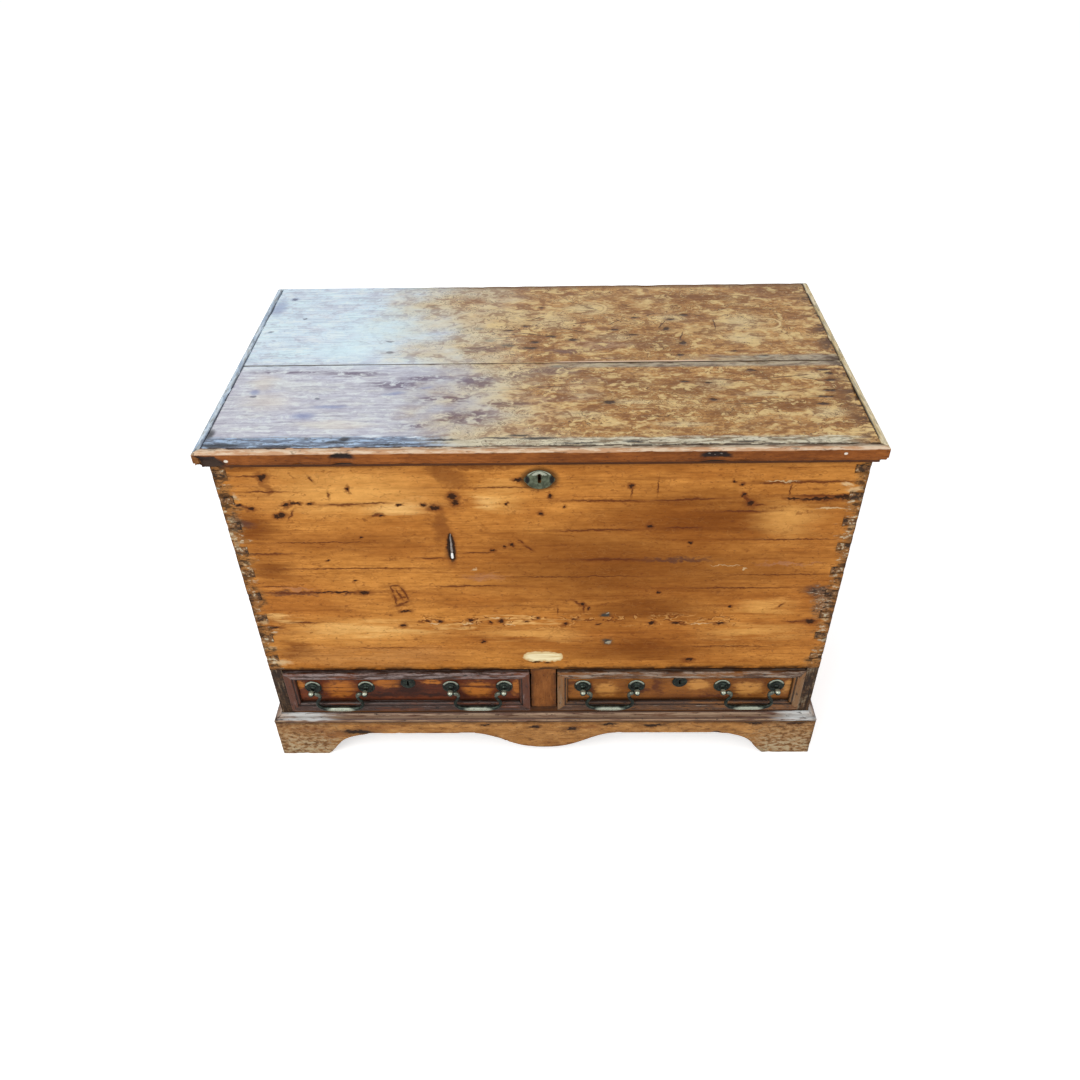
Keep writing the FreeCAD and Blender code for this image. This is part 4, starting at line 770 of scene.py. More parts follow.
def plinth_moulding_material(name, along):
    """The stepped moulding over the plinth: dark stain, pale lines on the arrises that are rubbing and
    painted highlight, dark lines of painted shade in the recesses and under it, whitened towards the corners.
    """
    s = Shade(name, along, (0.7, 2.1, 0.3))
    tones = ((122, 88, 66), (106, 74, 58), (62, 40, 32), (40, 24, 18))
    pine(s, *tones, heart=(0.4, 0.3), ring_strength=0.1, mottle=0.18)
    y, z = s.axes[1:]
    rub = s.noise((0.06, 0.005), 4, 0.66)
    bent = s.scaled(rub, 0.001, s.maths("SUBTRACT", z, 0.0005))
    nicks = s.patches((0.012, 0.005), 3, 0.6, 0.62, 0.7)
    # Bands by height: low, high, share, tone, noise start. The pale ones are rubbing with painted highlight;
    # the dark ones are painted shade.
    lines = [(0.1128, 0.12, 0.75, (56, 40, 32), 0.2), (0.1092, 0.1124, 0.7, (184, 156, 128), 0.36),
             (0.107, 0.1086, 0.75, (56, 38, 30), 0.2), (0.1032, 0.1064, 0.7, (178, 148, 114), 0.38),
             (0.098, 0.1014, 0.8, (52, 34, 22), 0.2)]
    for low, high, share, tone, start in lines:
        worn_line = s.both(s.band(bent, low, high, 0.0007), (rub, start, start + 0.16))
        s.lay(tone, worn_line, share)
    white = s.both(s.marks(s.smeared(50), [(-480, 110, 70, 7),
                                           (505, 108, 56, 14)], 0.8), (y, FRONT + 0.1, FRONT + 0.03))
    s.lay((200, 202, 200), white, (rub, 0.36, 0.5), 0.85)
    s.lay((32, 22, 18), nicks, 0.8)
    s.carve((nicks, -0.0005), (rub, 0.0004))
    return s.finish(s.scaled(rub, 0.3, 0.24), gloss=0.3)


def frame_material(name, box, gold_start, base, gold, shine, side_tone):
    """The applied moulding round a drawer: each strip's grain runs along it; arrises pale from rubbing and
    painted highlight, less on the upright strips, and painted shade in the groove, on the inner bevel and
    where the outer edge meets the board.
    """
    s = Shade(name, "X", (0.7, 2.1, 0.3))
    x, y, z = s.axes
    low, high = box

    def inward(place, start, end):
        return s.maths("MINIMUM", s.maths("SUBTRACT", place, start), s.maths("SUBTRACT", end, place))

    from_side, from_end = inward(x, low.x, high.x), inward(z, low.z, high.z)
    upright = s.maths("LESS_THAN", from_side, from_end)
    turned = s.vector("ADD", s.join(z, y, x), (3.3, 2.1, 0.9))
    change = s.vector("SUBTRACT", turned, s.fibre)
    s.fibre = s.vector("MULTIPLY_ADD", change, s.join(upright, upright, upright), s.fibre)
    pine(s, base, base, (52, 32, 28), (34, 20, 16), heart=(0.4, 0.3), ring_strength=0.1, mottle=0.2)
    s.lay(side_tone, upright, 0.7)
    bare = s.noise((0.11, 0.018), 4, 0.65)
    s.lay(gold, (bare, gold_start, gold_start + 0.12), 0.85)
    rub = s.noise((0.035, 0.0045), 4, 0.68)
    depth = s.maths("MINIMUM", from_side, from_end)
    bent = s.scaled(rub, 0.0024, s.maths("SUBTRACT", depth, 0.0012))
    # Dark tone for painted shade.
    quirk_shade = (26, 16, 12)
    # Bands in from the outer edge: start, end, softness, share, tone, noise start. The shine bands are
    # rubbing with painted highlight; the dark ones are painted shade in the groove and on the inner bevel.
    lines = [(-0.001, 0.0014, 0.0006, 0.6, shine, 0.48), (0.0118, 0.0138, 0.0007, 0.5, shine, 0.52),
             (0.0143, 0.0168, 0.0006, 0.9, quirk_shade, 0.28), (0.0195, 0.022, 0.0005, 0.85, quirk_shade, 0.28)]
    for start, end, soft, share, tone, keep in lines:
        line = s.both(s.band(bent, start, end, soft), (rub, keep, keep + 0.1))
        if tone == shine:
            line = s.both(line, s.scaled(upright, -0.6, 1.0))
        s.lay(tone, line, share)
    # Painted highlight on the top strip, which faces up.
    lit_top_strip = s.both((z, high.z - 0.024, high.z - 0.016), (upright, 1.0, 0.0))
    s.lay(shine, lit_top_strip, (rub, 0.44, 0.6), 0.75)
    s.lay(shine, (rub, 0.6, 0.7), 0.28)
    # Painted shade where the moulding's outer edge meets the board.
    outer = s.rise(y, FRONT - 0.0085, FRONT - 0.0055)
    s.lay((28, 18, 14), outer, (depth, 0.002, 0.0), 0.8)
    nicks = s.patches((0.012, 0.005), 3, 0.6, 0.6, 0.68)
    s.lay((30, 18, 14), nicks, 0.75)
    s.carve((nicks, -0.0005), (rub, 0.0005))
    return s.finish(s.scaled(rub, 0.3, 0.22), gloss=0.35)


def plinth_material(name, along, shift, foot):
    """Plinth boards: scuffed brown pine, pale and pitted at the feet, which begin foot from the middle, with
    painted shade under the moulding.
    """
    s = Shade(name, along, shift)
    tones = ((190, 136, 76), (160, 108, 54), (112, 68, 32), (72, 40, 20))
    pine(s, *tones, heart=(0.5, 0.02), mottle=0.22)
    x, y, z = s.axes
    place = s.ragged()
    spots = s.noise((0.02, 0.008), 4, 0.68)
    s.lay((92, 54, 26), (spots, 0.54, 0.64), 0.55)
    s.lay((202, 152, 92), (spots, 0.44, 0.36), 0.45)
    scuff = s.noise((0.03, 0.0075), 4, 0.7)
    knock = s.noise((0.014, 0.0075), 4, 0.66)
    far = s.scaled(scuff, 0.1, s.maths("ABSOLUTE", x if along == "X" else y))
    sides = s.rise(far, foot, foot + 0.08)
    low = s.rise(s.scaled(scuff, -0.04, z), 0.066, 0.0)
    s.lay((120, 84, 52), sides, 0.55)
    s.lay((182, 146, 100), sides, (knock, 0.47, 0.62), 0.7)
    s.lay((184, 170, 138), low, sides, (knock, 0.42, 0.6), 0.7)
    s.lay((74, 48, 28), sides, (knock, 0.48, 0.36), 0.7)
    pits = s.patches((0.0085, 0.006), 3, 0.6, 0.58, 0.66)
    s.lay((52, 36, 24), pits, sides, 0.45)
    blots = [(55, 78, 11, 6), (220, 88, 24, 4), (350, 66, 8, 3), (-380, 70, 34, 8), (420, 94, 24, 4),
             (-120, 90, 10, 3), (505, 94, 20, 4), (-20, 84, 14, 4), (130, 92, 16, 3)]
    stains = s.away(place, blots)
    s.holes(stains, (36, 22, 14), (88, 50, 24), 0.5)
    dark_red = [(-470, 78, 50, 14), (-340, 84, 60, 9), (90, 84, 40, 8), (-430, 60, 40, 16)]
    s.lay((112, 56, 24), s.marks(place, dark_red, 0.8), 0.45)
    # Painted shade along the top of the board, under the moulding.
    under = s.rise(s.scaled(scuff, 0.008, z), 0.094, 0.104)
    s.lay((60, 36, 22), under, 0.6)
    edge = s.both(s.wear(), (scuff, 0.4, 0.6))
    s.lay((96, 72, 48), edge, 0.55)
    s.carve((pits, -0.0006), (knock, 0.0012), (s.rise(stains, 1.1, 0.5), -0.0006), grain=1.2)
    return s.finish(waxed(s), gloss=0.16)


def drawer_material(name, shift, tones, stains, gold, deep, gold_tone):
    """A drawer front: waxed pine with old stains round its handles and lock, and painted shade along the top
    and bottom of the field next to the moulding.
    """
    s = Shade(name, shift=shift)
    pine(s, *tones, heart=(0.3, 0.13), mottle=0.18)
    place = s.ragged(26, 8)
    lights = s.both(s.marks(place, gold, 0.55), (s.streak, 0.7, 0.5))
    s.lay(gold_tone, lights, 0.85)
    s.lay(deep, s.marks(place, stains, 0.8), 0.85)
    spots = s.patches((0.02, 0.008), 4, 0.65, 0.56, 0.65)
    s.lay(deep, spots, 0.6)
    z = s.axes[2]
    # Painted shade along the top and bottom of the field, next to the moulding.
    rim = s.maths("MAXIMUM", s.rise(z, 0.209, 0.2155), s.rise(z, 0.159, 0.1525))
    s.lay((40, 20, 12), rim, 0.7)
    s.lay((44, 26, 18), s.wear(), 0.6)
    return s.finish(s.both(waxed(s), 0.8), gloss=0.2)


def metal(name, dark, green, bright, shine=0.6, roughness=0.36, soot=(), cell=0.006):
    """Old cast metal: dark patina, dull bloom in the hollows, brighter where the wear attribute is high:
    rubbed spots and painted highlights.
    """
    s = Shade(name)
    cloud = s.noise((cell, cell), 4, 0.65)
    grit = s.noise((0.0014, 0.0014), 2, 0.6)
    s.colour = s.over(dark, green, (cloud, 0.42, 0.62))
    s.lay(dark, (grit, 0.62, 0.72), 0.6)
    # Bright tone where the wear attribute marks rubbing and painted highlights.
    touched_and_lit = s.rise(s.scaled(cloud, 0.2, s.wear()), 0.36, 0.95)
    s.lay(bright, touched_and_lit)
    if soot:
        s.lay((16, 16, 14), s.marks(s.ragged(3, 1), soot, 0.5))
    rough = s.scaled(cloud, 0.3, roughness - 0.15)
    rough = s.scaled(touched_and_lit, -0.08, rough)
    s.height = s.heap((cloud, 0.0003), (grit, 0.00004))
    return s.finish(rough, metallic=shine)


# Mesh helpers -------------------------------------------------------------------------------------

SAG_CELL = (0.16, 0.07, 0.07)         # metres over which faces, chips and knocks change
CHIP_CELL = 0.021
GRIT_CELL = 0.008
SAME_POINT = 1e-5                     # metres within which two points are one
ON_PLANE = 1e-6                       # metres within which a point lies on a cutting plane
FLAT_ANGLE = math.radians(1)          # below it two faces are one


def hashed(cells, seed):
    """A number from -1 to 1 for each whole-number cell."""
    mixed = cells[:, 0] * 73856093 ^ cells[:, 1] * 19349663 ^ cells[:, 2] * 83492791 ^ np.int64(seed * 7919)
    mixed = ((mixed ^ (mixed >> 13)) & 0x7FFFFFFF) * 1274126177 & 0x7FFFFFFF
    return ((mixed ^ (mixed >> 11)) & 0xFFFF) / 32767.5 - 1


def wander(points, cell, seed):
    """Smooth noise from -1 to 1 at each point, with cells of that size."""
    scaled = points / np.array(cell)
    base = np.floor(scaled).astype(np.int64)
    part = scaled - base
    part = part * part * (3 - 2 * part)
    total = np.zeros(len(points))
    for corner in range(8):
        step = np.array([corner & 1, corner >> 1 & 1, corner >> 2 & 1])
        weight = np.prod(np.where(step, part, 1 - part), axis=1)
        total += weight * hashed(base + step, seed)
    return total


def add_object(name, mesh, material, body, nodes, smooth_angle):
    """A dressed piece that moves with a body and stands in for CAD nodes."""
    mesh.polygons.foreach_set("use_smooth", [True] * len(mesh.polygons))
    mesh.set_sharp_from_angle(angle=math.radians(smooth_angle))
    mesh.materials.append(material)
    piece = in_scene(name, mesh)
    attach(piece, body)
    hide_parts(*nodes)


def slice_up(bm, step):
    """Cut the mesh along a grid, so that its faces can bend."""
    for axis in range(3):
        low = min(v.co[axis] for v in bm.verts)
        high = max(v.co[axis] for v in bm.verts)
        count = int((high - low) / step[axis])
        normal = Vector([float(i == axis) for i in range(3)])
        for i in range(1, count):
            point = normal * (low + (high - low) * i / count)
            geometry = bm.verts[:] + bm.edges[:] + bm.faces[:]
            bmesh.ops.bisect_plane(bm, geom=geometry, dist=ON_PLANE, plane_co=point, plane_no=normal)


def worn(node, material, seed, step, edge, sag, chip, shape=None, sharp_angle=26):
    """Replace a node of wood by a copy with rounded, chipped edges and faces that aren't quite flat."""
    bm = bmesh.new()
    bm.from_mesh(CAD[node].data)
    bmesh.ops.remove_doubles(bm, verts=bm.verts[:], dist=SAME_POINT)
    bmesh.ops.dissolve_limit(bm, angle_limit=FLAT_ANGLE, verts=bm.verts[:], edges=bm.edges[:])
    bmesh.ops.recalc_face_normals(bm, faces=bm.faces[:])
    layer = bm.verts.layers.float.new("wear")
    rim = bm.faces.layers.int.new("rim")
    least = math.radians(sharp_angle)
    sharp = [e for e in bm.edges if len(e.link_faces) == 2 and e.calc_face_angle(0.0) > least]
    made = bmesh.ops.bevel(bm, geom=sharp, offset=edge, segments=2, profile=0.6, affect="EDGES",
                           clamp_overlap=True)
    for face in made["faces"]:
        face[rim] = 1
    slice_up(bm, step)
    for vert in bm.verts:
        vert[layer] = float(any(face[rim] for face in vert.link_faces))
    bm.normal_update()
    points = np.array([v.co[:] for v in bm.verts])
    normals = np.array([v.normal[:] for v in bm.verts])
    wear = np.array([v[layer] for v in bm.verts])
    sink = sag * (0.5 + 0.5 * wander(points, SAG_CELL, seed))
    knocks = wander(points, [CHIP_CELL] * 3, seed + 7) + 0.5 * wander(points, [GRIT_CELL] * 3, seed + 9)
    sink += chip * wear * np.clip(knocks - 0.25, 0, 1) + 0.25 * edge * wear
    points = points - normals * sink[:, None]
    if shape:
        points = shape(points)
    points = np.clip(points, *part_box(node))
    for vert, point in zip(bm.verts, points):
        vert.co = point
    mesh = bpy.data.meshes.new(node + "_worn")
    bm.to_mesh(mesh)
    bm.free()
    add_object(node + "_worn", mesh, material, CAD[node]["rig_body"], [node], 40)


def grid_mesh(name, rows, closed=True, caps=True):
    """A mesh from rows of points, each row joined to the next."""
    count = len(rows[0])
    faces = []
    for i in range(len(rows) - 1):
        for j in range(count if closed else count - 1):
            k = (j + 1) % count
            faces.append((i * count + j, i * count + k, (i + 1) * count + k, (i + 1) * count + j))
    if caps:
        faces.append(tuple(range(count))[::-1])
        faces.append(tuple((len(rows) - 1) * count + j for j in range(count)))
    mesh = bpy.data.meshes.new(name)
    mesh.from_pydata([tuple(p) for row in rows for p in row], [], faces)
    mesh.update()
    return mesh


# Values for the wear attribute: rubbing, and on metal painted highlights too.
def set_wear_and_highlight(mesh, values):
    layer = mesh.attributes.new("wear", "FLOAT", "POINT")
    layer.data.foreach_set("value", values)


def joined(name, meshes):
    """One mesh of several, with its faces turned outward."""
    bm = bmesh.new()
    for mesh in meshes:
        bm.from_mesh(mesh)
    bmesh.ops.recalc_face_normals(bm, faces=bm.faces[:])
    whole = bpy.data.meshes.new(name)
    bm.to_mesh(whole)
    bm.free()
    for mesh in meshes:
        bpy.data.meshes.remove(mesh)
    return whole


def circle(count):
    """The angle of each step round a circle, with its cosine and sine."""
    for j in range(count):
        angle = 2 * math.pi * j / count
        yield angle, math.cos(angle), math.sin(angle)


def turned(name, centre, profile, around=40, wobble=0.0, seed=1):
    """A piece turned about the -Y axis through centre. profile is (radius, distance out) in millimetres."""
    rows = [[(centre.x + radius * MM * c, centre.y - out * MM, centre.z + radius * MM * s)
             for _, c, s in circle(around)] for radius, out in profile]
    if wobble:
        flat = np.array([p for ring in rows for p in ring])
        shift = (wander(flat, [0.006] * 3, seed) - 1) * wobble
        flat = flat + (flat - np.array(centre[:])) * shift[:, None]
        rows = flat.reshape(len(rows), around, 3)
    return grid_mesh(name, rows)


# Handles and plates -------------------------------------------------------------------------------

# Millimetres. Half a bail is (x, z, radius) from the middle of its posts. Turned pieces are (radius, distance
# out). The nail's path is (x, height, radius) and its head (height, radius).
POST_SPAN = 105.0
POST_OUT = 18.5
HANDLE_Z = 0.191
BAIL_HALF = [
    (57.4, 0, 1.9), (53, 0, 1.95), (48.5, 0, 2.0), (44.0, 0.2, 3.9), (40.2, -0.8, 4.4), (37.4, -4.0, 3.9),
    (36.8, -8.8, 3.2), (38.0, -13.6, 3.1), (41.0, -18.4, 3.2), (43.6, -23.4, 3.3), (44.6, -28.8, 3.4),
    (43.6, -34.0, 3.5), (40.4, -38.4, 3.7), (35.6, -41.4, 4.1), (29.5, -42.8, 4.6), (22, -43.2, 5.1),
    (14, -43.3, 5.4), (7, -43.3, 5.5), (0, -43.3, 5.5),
]
BAIL_AROUND = 20
ROSETTE = [
    (3.6, 0.05), (17.0, 0.05), (17.0, 0.9), (16.4, 1.5), (15.4, 2.0), (14.2, 2.1), (13.2, 1.7),
    (12.4, 1.15), (11.2, 0.95), (9.4, 1.15), (8.0, 1.7), (7.2, 2.5), (6.6, 3.1), (5.2, 3.3), (3.6, 3.3),
]
ROSETTE_AROUND = 56
POST = [
    (3.0, -4.0), (3.4, 3.0), (5.0, 3.4), (5.6, 4.4), (5.0, 5.4), (3.9, 6.2), (3.4, 8.2), (3.3, 10.4),
    (3.9, 12.2), (5.0, 13.8), (5.8, 16.0), (6.0, 18.4), (5.7, 20.8), (4.7, 22.9), (3.0, 24.1), (1.2, 24.5),
]
POST_AROUND = 32
NUT = [(5.6, 0), (5.6, -3.2), (5.0, -4.0), (3.4, -4.0), (3.4, -6.0)]
NUT_BEHIND = 0.022
SPRIG = [(1.3, -8), (1.3, 1.6), (1.5, 1.9), (1.1, 2.3), (0.4, 2.4)]
NAIL_AROUND = 12
NAIL_PATH = [
    (0.4, 56.0, 0.9), (-0.3, 46, 1.6), (0.3, 34, 2.1), (-0.2, 24, 2.3), (0.1, 16, 2.3), (0, 12, 2.2),
]
NAIL_HEAD = [(-0.1, 0.4), (0.4, 1.7), (1.8, 2.45), (5.0, 2.6), (9.0, 2.5), (12.2, 2.0), (13.4, 0.5)]


def spline(points, steps):
    """Points along a smooth curve through the given ones."""
    points = [np.array(p, float) for p in points]
    points = [2 * points[0] - points[1]] + points + [2 * points[-1] - points[-2]]
    made = []
    for a, b, c, d in zip(points, points[1:], points[2:], points[3:]):
        for i in range(steps):
            t = i / steps
            bend = (2 * a - 5 * b + 4 * c - d) * t * t + (3 * b - a - 3 * c + d) * t ** 3
            made.append(0.5 * (2 * b + (c - a) * t + bend))
    made.append(points[-2])
    return made


def middle_of(node):
    low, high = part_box(node)
    return (low + high) / 2


def bail(node, seed):
    """A swan-neck bail, swept along its curve with a swelling grip."""
    middle = middle_of(node).x
    path = spline(BAIL_HALF + [(-x, z, r) for x, z, r in reversed(BAIL_HALF[:-1])], 5)
    outward = Vector((0, 1, 0))
    rows, wear = [], []
    for i, (x, z, r) in enumerate(path):
        before, after = path[max(i - 1, 0)], path[min(i + 1, len(path) - 1)]
        along = Vector((after[0] - before[0], 0, after[1] - before[1])).normalized()
        side = outward.cross(along)
        centre = Vector((middle + x * MM, FRONT - POST_OUT * MM, HANDLE_Z + z * MM))
        ring = []
        for a, c, s in circle(BAIL_AROUND):
            dent = 1 + 0.03 * math.sin(3 * a + i * 0.21 + seed) * math.sin(i * 0.13 + seed)
            ring.append(centre + (side * c + outward * s) * r * dent * MM)
            # The grip's wear is rubbing with a painted highlight on one side of the tube; the necks get a
            # painted highlight.
            grip = min(1.0, 1.7 * max(0.0, 1 - abs(x) / 38)) * (z < -38)
            neck = 0.44 * (abs(abs(x) - 40.5) < 5 and z > -8)
            wear.append(max(grip * min(1.0, 0.35 + max(0.0, math.cos(a - 4.2))), neck))
        rows.append(ring)
    mesh = grid_mesh(node + "_cast", rows)
    set_wear_and_highlight(mesh, wear)
    add_object(node + "_cast", mesh, BRASS, CAD[node]["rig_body"], [node], 50)


def handle_parts(side):
    """Rosettes and posts of one drawer."""
    name = side + "_drawer_"
    spots = []
    for place in ("inner", "outer"):
        middle = middle_of(f"{name}{place}_bail").x
        spots += [Vector((middle + s * POST_SPAN / 2 * MM, FRONT, HANDLE_Z)) for s in (-1, 1)]
    plates, posts = [], []
    for i, spot in enumerate(spots):
        plate_mesh = turned("plate", spot, ROSETTE, ROSETTE_AROUND, 0.02, seed=i + 3)
        radii = [radius for radius, out in ROSETTE for j in range(ROSETTE_AROUND)]
        # Painted highlight on the upper rim of each rosette.
        set_wear_and_highlight(plate_mesh, [0.72 if 13 < radius < 16.8 and v.co.z > spot.z + 0.006 else 0.05
                              for v, radius in zip(plate_mesh.vertices, radii)])
        plates.append(plate_mesh)
        post_mesh = turned("post", spot, POST, POST_AROUND, 0.01, seed=i + 11)
        # Painted highlight on the upper side of each post head.
        set_wear_and_highlight(post_mesh, [0.05 if out < 13 else 0.75 if 2 < j < 14 else 0.3
                             for radius, out in POST for j in range(POST_AROUND)])
        posts += [post_mesh, turned("nut", Vector((spot.x, FRONT + NUT_BEHIND, spot.z)), NUT, 6)]
    for title, meshes in (("rosettes", plates), ("handle_posts", posts)):
        mesh = joined(name + title + "_cast", meshes)
        add_object(name + title + "_cast", mesh, BRASS, side + "_drawer", [name + title], 40)


def keyhole_outline(c, s, width, height, centre_z):
    """Where a ray from the middle meets a round-ended slot. Millimetres."""
    r = width / 2
    straight = height / 2 - r
    if abs(c) * straight > abs(s) * r:
        t = r / abs(c)
    else:
        b = abs(s) * straight
        t = b + math.sqrt(max(b * b - straight * straight + r * r, 0.0))
    return t * c, t * s + centre_z


def plate(node, body, material, halves, key, profile, points, sprig_out, rim_highlight=False):
    """A shaped escutcheon: cut for the key, domed to its rim, and held by two sprigs."""
    middle = middle_of(node)
    rows = []
    for share, out in profile:
        ring = []
        for _, c, s in circle(96):
            inner_x, inner_z = keyhole_outline(c, s, *key)
            tip = points * max(0.0, abs(c) - 0.93) / 0.07
            x = inner_x + ((halves[0] + tip) * c - inner_x) * share
            z = inner_z + (halves[1] * s - inner_z) * share
            ring.append((middle.x + x * MM, FRONT - out * MM, middle.z + z * MM))
        rows.append(ring)
    parts = [grid_mesh("plate", rows, caps=False)]
    for s in (-1, 1):
        spot = Vector((middle.x + s * sprig_out * MM, FRONT, middle.z))
        parts.append(turned("sprig", spot, SPRIG, 14))
    for part in parts:
        # Painted highlight on the upper rim of the plate, when asked for.
        set_wear_and_highlight(part, [0.75 if rim_highlight and v.co.y < FRONT - 0.0014 and v.co.z > middle.z + 0.009 else 0.1
                        for v in part.vertices])
    add_object(node + "_cut", joined(node + "_cut", parts), material, body, [node], 35)


def old_nail():
    """The bent old nail in its slot: flat tapered shank, and a head at the foot painted near white, a painted
    highlight on rubbed iron.
    """
    low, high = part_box("old_nail")
    foot = Vector(((low.x + high.x) / 2, high.y - 0.0022, low.z))
    shank = []
    for dx, up, r in spline(NAIL_PATH, 6):
        centre = foot + Vector((dx, 0, up)) * MM
        ring = []
        for _, c, s in circle(NAIL_AROUND):
            squared = 1 / max(abs(c), abs(s)) ** 0.6
            ring.append(centre + Vector((c * r * squared, s * r * 0.8, 0)) * MM)
        shank.append(ring)
    head = [[foot + Vector((0.2 + c * r, 0.8 * s * r - 0.8, up)) * MM for _, c, s in circle(NAIL_AROUND)]
            for up, r in NAIL_HEAD]
    mesh = joined("old_nail_bent", [grid_mesh("shank", shank), grid_mesh("head", head)])
    # The head gets the bright tone all over: a painted highlight.
    set_wear_and_highlight(mesh, [0.3] * NAIL_AROUND * len(shank) + [1.0] * NAIL_AROUND * len(head))
    add_object("old_nail_bent", mesh, NAIL, "case", ["old_nail"], 45)


# Pieces -------------------------------------------------------------------------------------------

# The third tone of each metal is laid where the wear attribute is high, which includes painted highlights.
BRASS = metal("old_brass", (26, 31, 27), (50, 60, 52), (172, 178, 160), 0.7)
PLATE = metal("chest_plate", (66, 72, 54), (102, 110, 88), (180, 184, 164), 0.5, cell=0.011,
              soot=[(-19.5, 690, 4.5, 9), (20, 690, 5, 10)])
IRON = metal("iron", (40, 34, 30), (82, 66, 56), (120, 112, 106), 0.5, 0.5)
NAIL = metal("nail_iron", (132, 120, 112), (164, 152, 144), (250, 248, 244), 0.2, 0.35)
INSIDE = dict(grime=(110, 84, 58), gloss=0.12)
RAW = plain_wood("raw_pine", "X", (0.3, 0.1, 0.7),
                 ((206, 172, 122), (188, 148, 98), (156, 112, 66), (128, 86, 46)), **INSIDE)
RAW_Y = plain_wood("raw_pine_long", "Y", (0.9, 0.4, 0.2),
                   ((208, 176, 126), (190, 152, 102), (164, 122, 76), (136, 94, 54)), **INSIDE)
BEHIND = dict(tones=((174, 134, 86), (150, 108, 64), (112, 74, 42), (84, 52, 30)), grime=(52, 38, 28),
              gloss=0.12, faded=(172, 146, 112), mottle=0.16)
BACK_UPPER = plain_wood("back_pine_upper", "X", (1.9, 0.4, 0.3), **BEHIND)
BACK_LOWER = plain_wood("back_pine_lower", "X", (7.3, 0.9, 1.1), heart=(0.2, 0.2), **BEHIND)
SOFT_METAL, SOFT_WOOD = 0.0004, 0.0008


BREAK_X, BREAK_Z = -0.503, LID_TOP - 0.0165         # the break lies left of the one and below the other
BREAK_FACE = LID_EDGE - 0.0015                      # its face, behind which the wood is whole
BURNS = [(-0.309, 0.018, 0.0045), (0.277, 0.024, 0.004)]       # middle, half width and depth, metres


def broken_corner(points):
    """The foot of the front moulding is broken away under the left corner, and dented at two burns."""
    x, y, z = points.T
    ragged = 0.006 * wander(points, [0.011] * 3, 21)
    gone = (x < BREAK_X + ragged) & (z < BREAK_Z + ragged * 0.4)
    y[:] = np.where(gone, np.maximum(y, BREAK_FACE), y)
    for middle, half, deep in BURNS:
        near = np.clip(1 - ((x - middle) / half) ** 2, 0, 1)
        outer_face = (z < LID_TOP - 0.005) & (y < LID_EDGE - 0.004)
        y += np.where(outer_face, near * deep, 0)
    return points


def case_pieces():
    """Each call names the wood, the seed, the cutting step, and how far edges, faces and chips sink."""
    step = (0.012, 0.012, 0.012)
    worn("front_board", front_material(), 2, step, 0.0007, 0.0006, 0.0022)
    for node, shift, seed in (("left_end", (0.4, 0.1, 0.02), 4), ("right_end", (2.4, 1.1, 0.05), 5)):
        worn(node, end_material(node + "_pine", shift), seed, step, 0.0007, 0.0006, 0.002)
    tones = ((104, 64, 32), (84, 50, 26), (60, 34, 18), (44, 24, 12))
    rail = plain_wood("rail_pine", "X", (2.2, 0.3, 0.4), tones, grime=(40, 26, 18))
    worn("bottom_rail", rail, 6, (0.012, 0.01, 0.008), 0.0009, 0.0003, 0.0012)
    tones = ((142, 86, 38), (124, 72, 30), (94, 52, 22), (66, 34, 14))
    post = plain_wood("muntin_pine", "Z", (1.2, 0.2, 0.1), tones, heart=(0.3, 0.2), mottle=0.2)
    worn("muntin", post, 7, (0.008, 0.01, 0.008), 0.0009, 0.0004, 0.0022)


def plinth_pieces():
    board = plinth_material("plinth_front_pine", "X", (4.1, 0.2, 0.1), 0.44)
    worn("plinth_front", board, 13, (0.008, 0.02, 0.008), 0.0012, 0.0006, 0.0024)
    for side, seed in (("left", 14), ("right", 15)):
        board = plinth_material(f"plinth_{side}_pine", "Y", (seed * 0.6, 0.2, 0.1), 0.20)
        worn("plinth_" + side, board, seed, (0.02, 0.008, 0.008), 0.0012, 0.0006, 0.0024)
    for place, along, step in (("front", "X", ALONG_X), ("left", "Y", ALONG_Y), ("right", "Y", ALONG_Y)):
        stain = plinth_moulding_material(f"plinth_moulding_{place}_stain", along)
        seed = 17 + len(place)
        worn("plinth_moulding_" + place, stain, seed, step, 0.0005, 0.0003, 0.0014, None,
             30)


def lid_pieces():
    for place, shift, dab_depth, chip, seed in (("front", (5.2, 0.1, 0.3), 0.019, 0.0024, 8),
                                            ("rear", (8.6, 0.7, 0.1), 0.026, 0.0022, 9)):
        board = lid_material(f"lid_{place}_pine", shift, dab_depth)
        worn(f"lid_{place}_board", board, seed, (0.012, 0.012, 0.012), 0.0011, 0.0009, chip)
    # Tones: top, nose, side, line. The pale top and nose tones are rubbing with painted highlight; the left
    # moulding's pale blue ones are a painted reflection of the window, like the left of the boards.
    tones = {"front": ((216, 192, 164), (190, 146, 110), (142, 80, 30), (62, 46, 36)),
             "left": ((206, 220, 230), (158, 178, 198), (150, 100, 56), (62, 68, 84)),
             "right": ((228, 212, 176), (206, 182, 132), (160, 104, 50), (34, 24, 20))}
    for place, along, step, chip, seed, shape in (("front", "X", ALONG_X, 0.0016, 10, broken_corner),
                                                  ("left", "Y", ALONG_Y, 0.0018, 11, None),
                                                  ("right", "Y", ALONG_Y, 0.0018, 12, None)):
        edge = lid_edge_material("lid_edge_" + place, along, *tones[place])
        node = "lid_moulding_" + place
        worn(node, edge, seed, step, 0.0006, 0.0004, chip, shape, 30)


def drawer_pieces(side, seed, front, frame_tones, gold_start):
    node = side + "_drawer_moulding"
    worn(side + "_drawer_front", front, seed, (0.012, 0.02, 0.012), 0.0006, 0.0003, 0.001)
    stain = frame_material(side + "_drawer_stain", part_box(node), gold_start, *frame_tones)
    step = (0.007, 0.02, 0.007)
    worn(node, stain, seed + 1, step, 0.0004, 0.0003, 0.0014, None, 30)


